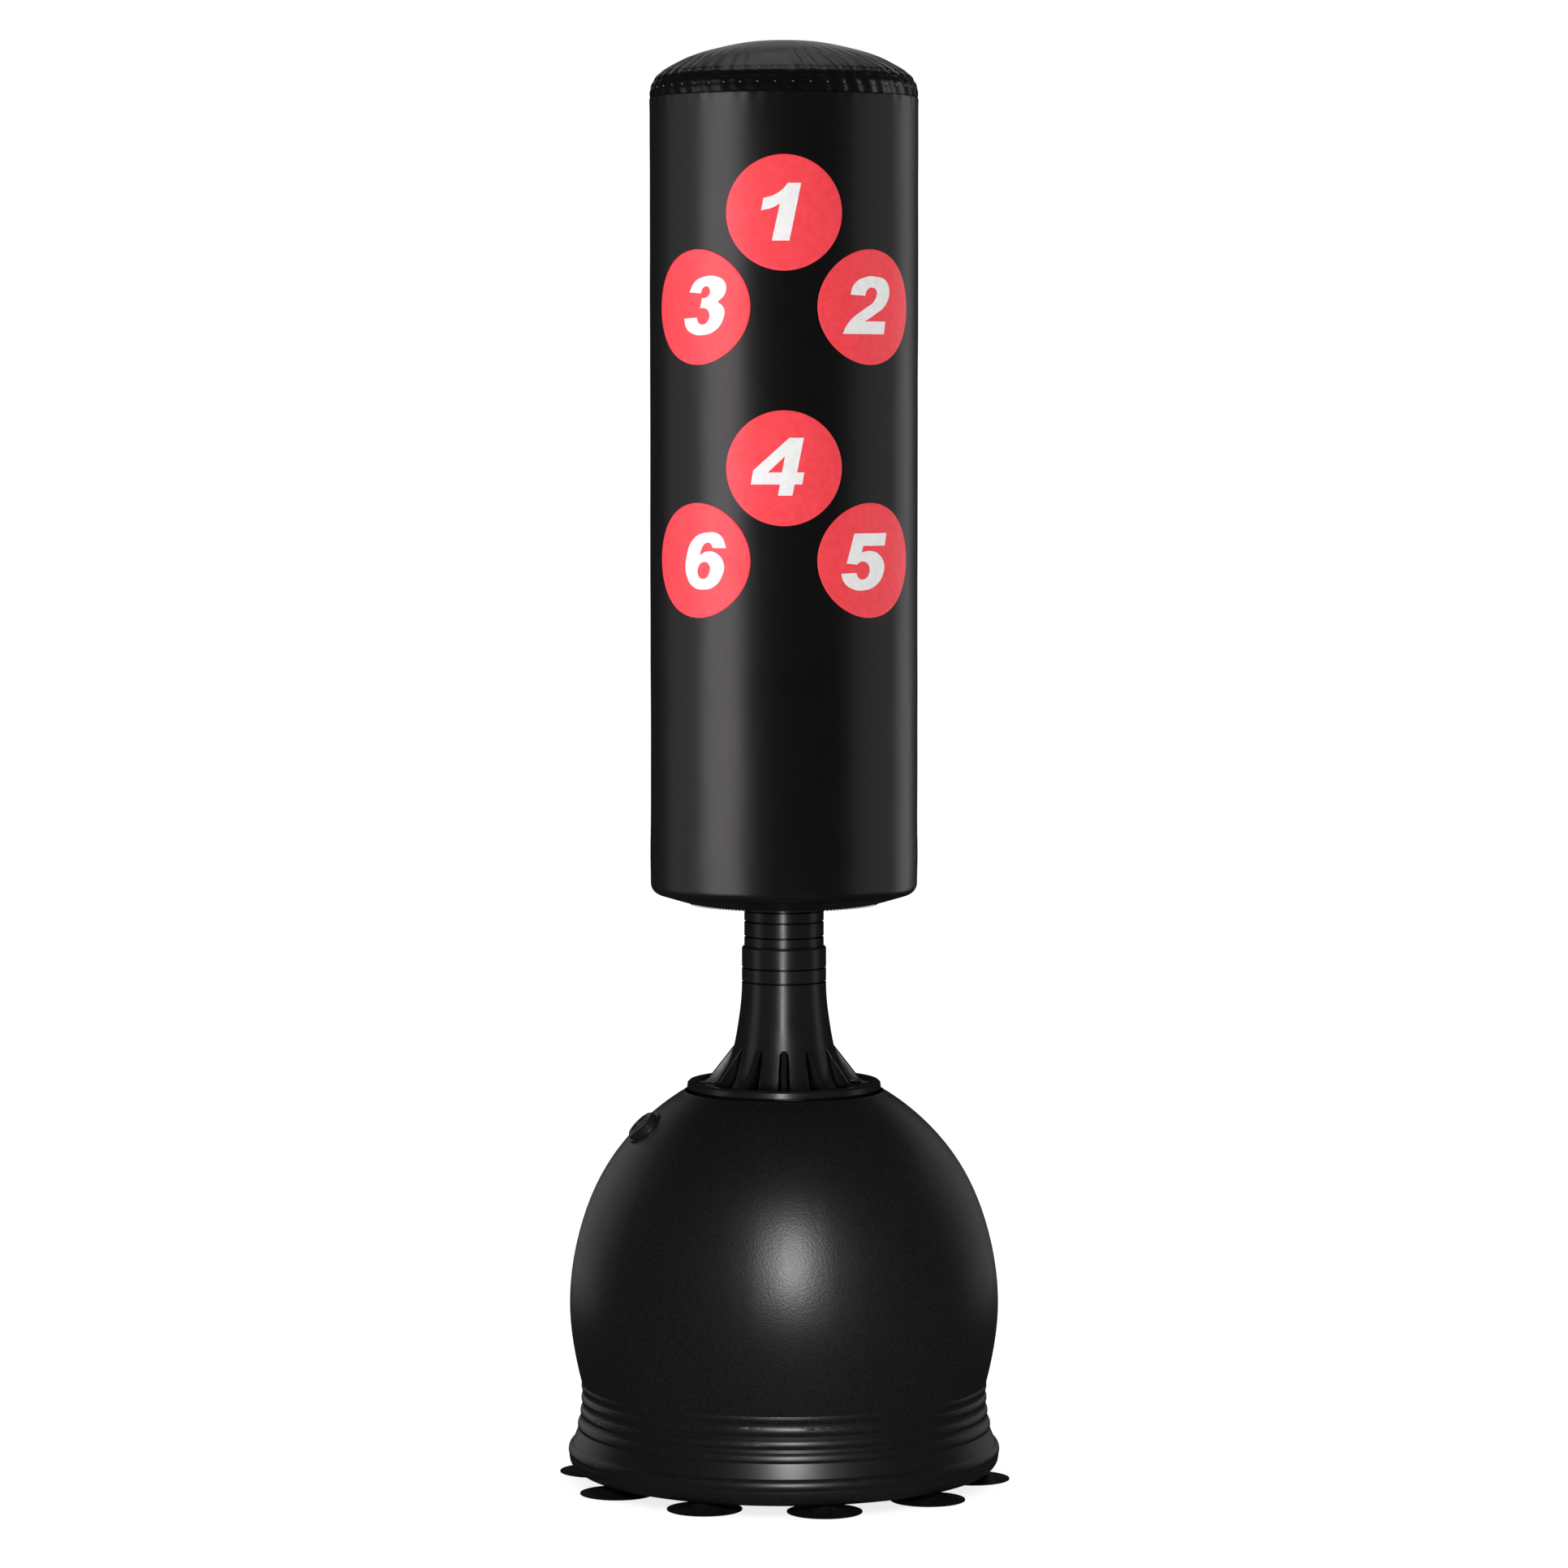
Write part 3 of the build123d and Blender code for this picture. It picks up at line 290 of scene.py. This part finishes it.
FINISH = {
    "base_plastic": BASE,
    "ballast_water": WATER,
    "cup_rubber": CUP,
    "cap_plastic": CAP_PLASTIC,
    "seal_rubber": SEAL,
    "zinc_steel": ZINC,
    "insert_brass": BRASS,
    "spring_steel": SPRING,
    "acetal": ACETAL,
    "neck_plastic": NECK,
    "tube_plastic": TUBE,
    "foam_stiff": STIFF_FOAM,
    "foam_soft": SOFT_FOAM,
    "cover_leather": LEATHER,
    "target_red": RED,
}
for part in frame["record"]["subparts"]:
    mesh = nodes[part["node"]].data
    mesh.materials.clear()
    mesh.materials.append(FINISH[part["material_slot"]])


# ---------------------------------------------------------------- mesh helpers
def new_object(name, mesh, material):
    """A piece on the swaying pillar, with its material."""
    made = bpy.data.objects.new(name, mesh)
    bpy.context.scene.collection.objects.link(made)
    mesh.materials.clear()
    mesh.materials.append(material)
    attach(made, "pillar")
    return made


def build(name, points, faces, material):
    mesh = bpy.data.meshes.new(name)
    mesh.from_pydata(points, [], faces)
    mesh.validate()
    mesh.shade_smooth()
    return new_object(name, mesh, material)


def through(marks, step):
    """A smooth run of (radius, height) points through a few marks, about step apart."""
    ends = [marks[0]] + list(marks) + [marks[-1]]
    run = []
    for a, b, c, d in zip(ends, ends[1:], ends[2:], ends[3:]):
        count = max(2, round(sqrt((c[0] - b[0]) ** 2 + (c[1] - b[1]) ** 2) / step))
        for i in range(count):
            t = i / count
            run.append(tuple(
                0.5 * (
                    2 * q
                    + (r - p) * t
                    + (2 * p - 5 * q + 4 * r - s) * t ** 2
                    + (3 * q - p - 3 * r + s) * t ** 3
                )
                for p, q, r, s in zip(a, b, c, d)
            ))
    return run + [marks[-1]]


def even_turn(count):
    """Angles of an even turn."""
    return [2 * pi * k / count for k in range(count)]


def lathe(profile, angles, shape):
    """Points and faces of a turned skin; shape(angle, radius, height) gives each point."""
    count = len(angles)
    points = [shape(angle, radius, height) for radius, height in profile for angle in angles]
    faces = []
    for i in range(len(profile) - 1):
        for k in range(count):
            a, b = i * count + k, i * count + (k + 1) % count
            faces.append((a, b, b + count, a + count))
    return points, faces


def polar(angle, radius, height):
    """Angle 0 is the front (-Y), growing towards +X."""
    return (radius * sin(angle), -radius * cos(angle), height)


# ---------------------------------------------------------------- the wrap
HEM_Z = SEAM_Z - 0.004
SLOPE = radians(16.4)          # the underside falls from the rounded edge to the panel
EDGE_ROUND = 0.014
BEND_R = BAG_R - EDGE_ROUND * (1 - sin(SLOPE))
BEND_Z = BAG_BOTTOM + (BEND_R - PANEL_R) * tan(SLOPE)
EDGE_Z = BEND_Z + EDGE_ROUND * cos(SLOPE)
EDGE_STEPS = 12
SIDE_STEPS = 130
SIDE_TOP_Z = HEM_Z - 0.016
WRAP_ANGLES = 288
LAP_EDGE = radians(175.0)      # at the back, where the wrap's outer end lies over its inner one
LAP_STEP = 0.0009              # thickness of the end on top
SKIN_INSET = 0.0004


def soft_step(t):
    t = min(1.0, max(0.0, t))
    return t * t * (3 - 2 * t)


def wrap_shape(angle, radius, height):
    """The padded side: slow unevenness, small puckers under the hem, a lapped seam at the back."""
    spot = Vector((sin(angle) * 1.1, cos(angle) * 1.1, height * 5.0))
    swell = 0.00045 * noise.noise(spot) + 0.0002 * noise.noise(spot * 3.1)
    swell += 0.0005 * exp(-((height - EDGE_Z - 0.035) / 0.025) ** 2)
    pucker = 0.00030 * exp(-max(HEM_Z - height, 0) / 0.010) * cos(PLEATS * angle)
    past = angle - LAP_EDGE
    step = LAP_STEP * soft_step(past / 0.004) * (1 - soft_step((past - 0.10) / 0.25))
    side = min(1.0, max(0.0, (radius - PANEL_R) / (BAG_R - PANEL_R)))
    return polar(angle, radius - SKIN_INSET + side * (swell + pucker + step), height)


profile = [(TUBE_R + 0.0015, BAG_BOTTOM + 0.0004), (TUBE_R + 0.006, BAG_BOTTOM + 0.0002)]
profile += through((
    (0.070, BAG_BOTTOM + 0.0002),
    (PANEL_R - 0.006, BAG_BOTTOM + 0.0002),
    (PANEL_R - 0.001, BAG_BOTTOM + 0.0012),
    (PANEL_R + 0.002, BAG_BOTTOM + 0.0012),
    (PANEL_R + 0.010, BAG_BOTTOM + 0.0030),
    (BEND_R - 0.012, BEND_Z - 0.0036),
), 0.003)
for i in range(EDGE_STEPS + 1):
    lean = SLOPE + (pi / 2 - SLOPE) * i / EDGE_STEPS
    profile.append((BAG_R - EDGE_ROUND * (1 - sin(lean)), EDGE_Z - EDGE_ROUND * cos(lean)))
for i in range(1, SIDE_STEPS + 1):
    profile.append((BAG_R, EDGE_Z + (SIDE_TOP_Z - EDGE_Z) * i / SIDE_STEPS))
profile += through((
    (BAG_R, HEM_Z - 0.014),
    (BAG_R + 0.0001, HEM_Z - 0.003),
    (BAG_R - 0.0002, HEM_Z + 0.001),
    (BAG_R - 0.0014, HEM_Z + 0.0024),
    (BAG_R - 0.0040, HEM_Z + 0.0020),
), 0.0008)
angles = sorted(even_turn(WRAP_ANGLES) + [LAP_EDGE + 0.001 * k for k in range(-1, 6)])
points, faces = lathe(profile, angles, wrap_shape)
wrap = build("bag_wrap", points, faces, LEATHER)
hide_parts("bag_cover", "bag_bottom_panel")


# ---------------------------------------------------------------- the gathered cap
UPPER_ROW_R = 0.1505           # radius of the row of stitches on the crown's edge
LOWER_ROW_Z = 1.6905           # height of the row of stitches on the shoulder
FOLD_Z = 1.7000                # height of the fold between the two rows
DEEPEST = -0.0011              # the pleats stay outside the foam
CAP_ANGLES = 576
CAP_MARKS = (
    (0.0, APEX_Z - 0.0004),
    (0.045, APEX_Z - 0.0034),
    (0.0858, APEX_Z - 0.0118),
    (0.1150, APEX_Z - 0.0212),
    (0.1347, APEX_Z - 0.0314),
    (0.1485, APEX_Z - 0.0402),
    (0.1559, APEX_Z - 0.0474),
    (0.1601, APEX_Z - 0.0560),
    (SEAM_R, SEAM_Z + 0.004),
    (SEAM_R - 0.0004, SEAM_Z - 0.002),
)


def cap_shape(angle, radius, height):
    """Pleats from the crown to the hem, pulled in at both rows of stitches and at the fold between."""
    down = APEX_Z - height
    reach = soft_step((radius - 0.080) / 0.060)
    turn = angle - 0.08 * reach - 2.0 * max(down - 0.020, 0)
    wander = noise.noise(Vector((6 * sin(angle), 6 * cos(angle), 22 * down)))
    wave = cos(PLEATS * turn + 1.3 * wander)
    fullness = 0.75 + 0.7 * noise.noise(Vector((4 * sin(angle), 4 * cos(angle), 7.7)))
    swell = 0.0011 * reach * fullness * (wave + 0.2)
    swell += 0.0009 * reach * noise.noise(Vector((30 * radius * sin(angle), 30 * radius * cos(angle), 2.0)))
    shoulder = soft_step((radius - 0.150) / 0.004)
    swell -= 0.0005 * exp(-((radius - UPPER_ROW_R) / 0.0025) ** 2)
    swell -= 0.0005 * shoulder * exp(-((height - LOWER_ROW_Z) / 0.0025) ** 2)
    rough = 0.7 + 0.6 * noise.noise(Vector((9 * sin(angle), 9 * cos(angle), 1.3)))
    swell -= 0.0014 * shoulder * rough * exp(-((height - FOLD_Z) / 0.0028) ** 2)
    swell = max(swell, DEEPEST)
    slope = min(1.0, radius / SEAM_R) ** 3
    return polar(angle, radius + swell * slope, height + swell * (1 - 0.8 * slope) - 0.0002)


profile = through(CAP_MARKS, 0.0013)
points, faces = lathe(profile[1:], even_turn(CAP_ANGLES), cap_shape)
centre = len(points)
points.append((0.0, 0.0, profile[0][1]))
faces += [((k + 1) % CAP_ANGLES, k, centre) for k in range(CAP_ANGLES)]
faces = [tuple(reversed(f)) for f in faces]
cap = build("gathered_cap", points, faces, CAP_LEATHER)
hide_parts("bag_top_cap")


def cap_point(angle, radius=None, height=None):
    """The cap's surface at an angle, at a radius on the crown or a height on the shoulder."""
    run = through(CAP_MARKS, 0.0008)
    if height is None:
        r, z = min(run, key=lambda p: abs(p[0] - radius))
    else:
        r, z = min(run[len(run) // 2:], key=lambda p: abs(p[1] - height))
    return Vector(cap_shape(angle, r, z))


def stitch(points, faces, a, b):
    """Adds a round-ended bit of thread from a to b."""
    sides = 8
    along = (b - a).normalized()
    across = along.orthogonal().normalized()
    other = along.cross(across)
    rings = ((-1.0, 0.05), (-0.7, 0.7), (0.0, 1.0), (1.0, 1.0), (1.7, 0.7), (2.0, 0.05))
    start = len(points)
    for place, width in rings:
        middle = a + along * place * STITCH_R if place <= 0 else b + along * (place - 1.0) * STITCH_R
        for k in range(sides):
            t = 2 * pi * k / sides
            points.append(tuple(middle + (across * cos(t) + other * sin(t)) * STITCH_R * width))
    for i in range(len(rings) - 1):
        for k in range(sides):
            n = (k + 1) % sides
            p = start + i * sides
            faces.append((p + k, p + n, p + sides + n, p + sides + k))
    faces.append(tuple(start + k for k in reversed(range(sides))))
    faces.append(tuple(start + (len(rings) - 1) * sides + k for k in range(sides)))


points, faces = [], []
for k in range(PLEATS):
    angle = 2 * pi * (k + 0.5) / PLEATS
    for row in (dict(radius=UPPER_ROW_R), dict(height=LOWER_ROW_Z)):
        a = cap_point(angle - 0.005, **row)
        b = cap_point(angle + 0.005, **row)
        lift = Vector((a.x, a.y, 0.08)).normalized() * 0.0004
        slant = Vector((0, 0, 0.0005))
        a += lift + slant
        b += lift - slant
        stitch(points, faces, a, b)
stitches = build("cap_stitches", points, faces, THREAD)


# ---------------------------------------------------------------- seam stitches on the wrap
SEAM_ROWS = (LAP_EDGE + 0.022, LAP_EDGE + 0.052)
SEAM_STITCH = 0.0036
SEAM_PITCH = 0.0056
PANEL_STITCHES = 150
PANEL_STITCH_TURN = 0.026

points, faces = [], []
for row in SEAM_ROWS:
    z = EDGE_Z + 0.012
    while z < HEM_Z - 0.012:
        a = Vector(wrap_shape(row, BAG_R + 0.0002, z))
        b = Vector(wrap_shape(row, BAG_R + 0.0002, z + SEAM_STITCH))
        stitch(points, faces, a, b)
        z += SEAM_PITCH
seam = build("rear_seam_stitches", points, faces, DARK_THREAD)

points, faces = [], []
for t in even_turn(PANEL_STITCHES):
    a = Vector(wrap_shape(t, PANEL_R + 0.0050, BAG_BOTTOM + 0.0009))
    b = Vector(wrap_shape(t + PANEL_STITCH_TURN, PANEL_R + 0.0050, BAG_BOTTOM + 0.0009))
    stitch(points, faces, a, b)
panel_seam = build("bottom_panel_stitches", points, faces, DARK_THREAD)


# ---------------------------------------------------------------- targets and numerals
TARGET_Z = {t: sum(corner.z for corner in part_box(f"target_{t}")) / 2 for t in TARGET_ANGLES}
DISC_LIFT = 0.00062            # how far the discs stand off the wrap's middle radius
NUMERAL_LIFT = 0.00074
DISC_RINGS = 24
DISC_SEGMENTS = 128
NUMERAL_HALF = 22              # strips each way that a numeral is cut into, so that it can curve
NUMERAL_STRIP = 0.002


def on_bag(target, u, v, lift):
    """A place u across and v up from a target's middle, wrapped on the bag."""
    return polar(radians(TARGET_ANGLES[target]) + asin(u / BAG_R), BAG_R + lift, TARGET_Z[target] + v)


def make_target(target):
    """A thin round disc that follows the bag, with a rounded edge."""
    count = DISC_SEGMENTS
    marks = [(DISC_R * i / DISC_RINGS, DISC_LIFT) for i in range(1, DISC_RINGS)]
    marks += [(DISC_R - 0.0006, 0.00060), (DISC_R - 0.0001, 0.00045), (DISC_R, 0.00018)]
    points = [on_bag(target, 0.0, 0.0, DISC_LIFT)]
    for radius, lift in marks:
        points += [on_bag(target, radius * cos(t), radius * sin(t), lift) for t in even_turn(count)]
    faces = [(0, 1 + k, 1 + (k + 1) % count) for k in range(count)]
    for i in range(len(marks) - 1):
        for k in range(count):
            a = 1 + i * count + k
            b = 1 + i * count + (k + 1) % count
            faces.append((a, a + count, b + count, b))
    piece = build(f"target_disc_{target}", points, faces, RED)
    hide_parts(f"target_{target}")
    return piece


# Heavy slanted numerals in millimetres from the target's middle; "c" marks a corner.
NUMERALS = {
    1: [[
        (4.5, 34.5, "c"), (20.2, 34.5, "c"), (6.4, -33.2, "c"), (-14.4, -33.2, "c"), (-4.8, 10.2, "c"),
        (-14.5, 5.2), (-26.9, 2.4, "c"), (-24.2, 16.8, "c"), (-11.5, 20.6), (-2.0, 26.8),
    ]],
    2: [[
        (-28.9, 14.4, "c"), (-8.3, 13.3, "c"), (-5.2, 20.2), (2.6, 23.2), (9.4, 19.0), (6.0, 7.8),
        (-8.0, -1.6), (-25.0, -12.6), (-34.2, -22.6), (-38.8, -32.0, "c"), (21.7, -32.0, "c"),
        (24.2, -17.0, "c"), (-9.0, -17.0, "c"), (8.0, -8.0), (24.0, 2.4), (31.4, 18.0), (26.0, 30.8),
        (10.0, 35.9), (-9.5, 34.8), (-23.6, 27.0),
    ]],
    3: [[
        (-12.4, 17.6, "c"), (5.2, 16.2, "c"), (9.4, 23.3), (16.0, 23.7), (18.6, 17.6), (15.2, 12.2),
        (7.0, 10.2, "c"), (4.2, -1.2, "c"), (13.4, -2.4), (17.6, -9.0), (14.6, -17.6), (7.4, -20.8),
        (0.8, -17.6), (-1.0, -12.5, "c"), (-21.3, -13.4, "c"), (-18.6, -23.6), (-8.4, -31.2), (7.5, -33.2),
        (24.2, -28.8), (35.6, -16.0), (37.0, -1.6), (29.0, 5.8, "c"), (38.2, 15.0), (38.6, 28.6),
        (27.4, 35.8), (10.8, 35.9), (-4.6, 29.2),
    ]],
    4: [
        [
            (6.4, 35.9, "c"), (23.4, 35.9, "c"), (15.4, -5.0, "c"), (24.0, -5.0, "c"), (21.4, -19.2, "c"),
            (12.5, -19.2, "c"), (9.8, -32.4, "c"), (-7.2, -32.4, "c"), (-4.6, -19.2, "c"),
            (-39.3, -19.2, "c"), (-36.3, -2.6, "c"),
        ],
        [(1.2, 14.2, "c"), (-2.4, -5.0, "c"), (-19.1, -5.0, "c")],
    ],
    5: [[
        (-23.2, 32.3, "c"), (26.4, 32.3, "c"), (23.6, 17.4, "c"), (-10.7, 17.4, "c"), (-12.8, 9.8, "c"),
        (-1.0, 11.4), (13.0, 7.4), (22.4, -4.2), (19.8, -18.4), (9.0, -29.6), (-8.0, -35.2), (-25.6, -33.6),
        (-37.4, -24.8), (-40.4, -15.4, "c"), (-20.6, -14.6, "c"), (-17.0, -21.0), (-9.0, -22.2),
        (-2.4, -16.4), (-1.8, -7.0), (-8.0, -1.6), (-16.0, -2.0), (-19.4, -4.8, "c"), (-33.6, -3.2, "c"),
    ]],
    6: [
        [
            (40.0, 15.1, "c"), (22.1, 15.1, "c"), (18.6, 20.6), (11.8, 20.6), (6.0, 14.0), (3.4, 6.4, "c"),
            (14.0, 10.8), (27.6, 8.4), (36.6, -3.4), (34.0, -19.0), (24.0, -30.6), (9.4, -34.6),
            (-8.4, -30.6), (-18.6, -15.6), (-17.6, 5.6), (-6.6, 25.2), (14.0, 33.4), (32.6, 30.0),
        ],
        [(9.7, -1.6), (16.8, -4.8), (17.4, -14.0), (9.6, -21.8), (1.4, -18.6), (1.6, -7.0)],
    ],
}


def make_numeral(target):
    """A flat numeral filled from its outline, cut into strips and wrapped on the target."""
    curve = bpy.data.curves.new(f"numeral_{target}", "CURVE")
    curve.dimensions = "2D"
    curve.fill_mode = "BOTH"
    curve.resolution_u = 8
    for outline in NUMERALS[target]:
        spline = curve.splines.new("BEZIER")
        spline.bezier_points.add(len(outline) - 1)
        spline.use_cyclic_u = True
        for point, mark in zip(spline.bezier_points, outline):
            point.co = (mark[0] / 1000, mark[1] / 1000, 0)
            handle = "VECTOR" if len(mark) == 3 else "AUTO"
            point.handle_left_type = handle
            point.handle_right_type = handle
    drawn = bpy.data.objects.new("outline", curve)
    bpy.context.scene.collection.objects.link(drawn)
    bpy.context.view_layer.update()
    flat = bpy.data.meshes.new_from_object(drawn)
    bpy.data.objects.remove(drawn)
    bm = bmesh.new()
    bm.from_mesh(flat)
    bmesh.ops.remove_doubles(bm, verts=bm.verts, dist=1e-7)
    for i in range(-NUMERAL_HALF, NUMERAL_HALF + 1):
        everything = bm.verts[:] + bm.edges[:] + bm.faces[:]
        cut = (i * NUMERAL_STRIP, 0, 0)
        bmesh.ops.bisect_plane(bm, geom=everything, plane_co=cut, plane_no=(1, 0, 0))
    for v in bm.verts:
        v.co = on_bag(target, v.co.x, v.co.y, NUMERAL_LIFT)
    bmesh.ops.recalc_face_normals(bm, faces=bm.faces)
    outward = Vector(on_bag(target, 0, 0, 0))
    outward.z = 0
    if sum(f.normal.dot(outward) * f.calc_area() for f in bm.faces) < 0:
        bmesh.ops.reverse_faces(bm, faces=bm.faces)
    mesh = bpy.data.meshes.new(f"numeral_{target}")
    bm.to_mesh(mesh)
    bm.free()
    return new_object(f"numeral_{target}", mesh, WHITE)


discs = [make_target(t) for t in TARGET_ANGLES]
numerals = [make_numeral(t) for t in TARGET_ANGLES]


# ---------------------------------------------------------------- floor, world and lights
FLOOR_HALF = 40.0
FLOOR_DROP = 0.0004            # just under the cups' lips

corners = [(x * FLOOR_HALF, y * FLOOR_HALF, 0) for x, y in ((-1, -1), (1, -1), (1, 1), (-1, 1))]
floor_mesh = bpy.data.meshes.new("floor")
floor_mesh.from_pydata(corners, [], [(0, 1, 2, 3)])
floor = bpy.data.objects.new("floor", floor_mesh)
bpy.context.scene.collection.objects.link(floor)
floor.location.z = -FLOOR_DROP
floor.visible_glossy = False
pale = Nodes("pale_floor")
pale.set(colour=(0.86, 0.86, 0.86), roughness=0.9)
pale.shader.inputs["Specular IOR Level"].default_value = 0.0
pale.shader.inputs["Emission Color"].default_value = (1, 1, 1, 1)
pale.shader.inputs["Emission Strength"].default_value = 0.80
floor_mesh.materials.append(pale.material)

world = bpy.data.worlds.new("studio")
bpy.context.scene.world = world
world.use_nodes = True
tree = world.node_tree
tree.nodes.clear()


def background(colour, strength):
    node = tree.nodes.new("ShaderNodeBackground")
    node.inputs["Color"].default_value = (*colour, 1.0)
    node.inputs["Strength"].default_value = strength
    return node.outputs[0]


def mixed(factor, without, with_it):
    node = tree.nodes.new("ShaderNodeMixShader")
    for socket, source in zip(node.inputs, (factor, without, with_it)):
        tree.links.new(source, socket)
    return node.outputs[0]


# White behind the object, a soft even light on it, and an almost dark room in its reflections.
path = tree.nodes.new("ShaderNodeLightPath")
seen = background((1.0, 1.0, 1.0), 1.05)
around = background((1.0, 1.0, 1.0), 0.36)
mirror = background((0.95, 0.98, 1.0), 0.016)
lighting = mixed(path.outputs["Is Glossy Ray"], around, mirror)
surface = mixed(path.outputs["Is Camera Ray"], lighting, seen)
out = tree.nodes.new("ShaderNodeOutputWorld")
tree.links.new(surface, out.inputs["Surface"])


def group(name, members):
    """A set of objects that a light is limited to."""
    made = bpy.data.collections.new(name)
    for member in members:
        made.objects.link(member)
    return made


SIDE_SET = group("lit_side", [wrap, seam, panel_seam] + discs + numerals)
CAP_SET = group("lit_cap", [cap, stitches])
WRAP_SET = group("lit_wrap", [wrap, panel_seam])
PRINT_SET = group("lit_prints", discs + numerals)
NECK_SET = group("lit_neck", [nodes["flange"], nodes["lower_tube"]])
cups = [nodes[name] for name in nodes if name.startswith("suction_cup")]
BASE_SET = group("lit_base", cups + [nodes["base_shell"], nodes["filler_cap"], nodes["filler_seal"]])


def softbox(name, place, target, width, height, watts, receivers, colour=(1, 1, 1)):
    """A rectangular light at a place, facing a target, that lights one set of objects only."""
    data = bpy.data.lights.new(name, "AREA")
    data.shape = "RECTANGLE"
    data.size = width
    data.size_y = height
    data.energy = watts
    data.color = colour
    light = bpy.data.objects.new(name, data)
    bpy.context.scene.collection.objects.link(light)
    light.location = place
    light.rotation_euler = (Vector(target) - Vector(place)).to_track_quat("-Z", "Y").to_euler()
    light.visible_camera = False
    light.light_linking.receiver_collection = receivers
    return light


def ring_place(azimuth, distance, z):
    """A place round the object: azimuth 0 is the front, growing towards +X."""
    return (distance * sin(radians(azimuth)), -distance * cos(radians(azimuth)), z)


WARM = (1.0, 0.95, 0.98)
softbox("bag_left", ring_place(-53, 2.6, 1.2), (0, 0, 1.2), 1.75, 2.9, 46.0, SIDE_SET, WARM)
softbox("bag_left_ramp", ring_place(-96, 2.6, 1.2), (0, 0, 1.2), 1.8, 2.9, 7.0, SIDE_SET, WARM)
softbox("bag_right", ring_place(124, 2.6, 1.2), (0, 0, 1.2), 1.2, 2.9, 10.5, SIDE_SET)
softbox("bag_right_ramp", ring_place(80, 2.6, 1.2), (0, 0, 1.2), 2.0, 2.9, 8.0, SIDE_SET)
softbox("bag_under", (0.0, -1.2, 0.15), (0, 0, 0.72), 1.6, 0.8, 0.3, WRAP_SET)
softbox("cap_left", ring_place(-70, 2.6, 1.6), (0, 0, 1.7), 0.9, 1.6, 7.0, CAP_SET, WARM)
softbox("cap_right", ring_place(100, 2.6, 1.9), (0, 0, 1.7), 0.9, 1.6, 9.0, CAP_SET)
softbox("cap_top", (0.0, 0.8, 3.6), (0, 0, 1.7), 1.6, 1.6, 6.0, CAP_SET)
softbox("cap_back", ring_place(180, 3.0, 2.7), (0, 0, 1.7), 2.5, 1.2, 7.0, CAP_SET)
softbox("print_fill", ring_place(6, 4.0, 1.6), (0, 0, 1.3), 2.4, 2.0, 17.0, PRINT_SET).visible_glossy = False
softbox("dome_front", ring_place(4, 3.0, 1.33), (0, 0, 0.30), 0.16, 0.95, 64.0, BASE_SET)
softbox("base_left", ring_place(-135, 3.0, 0.9), (0, 0, 0.3), 2.5, 2.2, 7.0, BASE_SET)
softbox("base_right", ring_place(135, 3.0, 0.9), (0, 0, 0.3), 2.5, 2.2, 5.0, BASE_SET)
softbox("neck_front", ring_place(-3, 2.5, 0.40), (0, 0, 0.55), 0.26, 0.9, 13.0, NECK_SET)
softbox("neck_flare", ring_place(-3, 2.5, 1.6), (0, 0, 0.55), 0.26, 1.8, 24.0, NECK_SET)
softbox("neck_left", ring_place(-80, 2.4, 0.7), (0, 0, 0.55), 0.8, 1.4, 2.0, NECK_SET)
softbox("neck_right", ring_place(95, 2.4, 0.7), (0, 0, 0.55), 0.8, 1.4, 1.6, NECK_SET)

bpy.context.scene.view_settings.view_transform = "Standard"
bpy.context.scene.view_settings.look = "None"
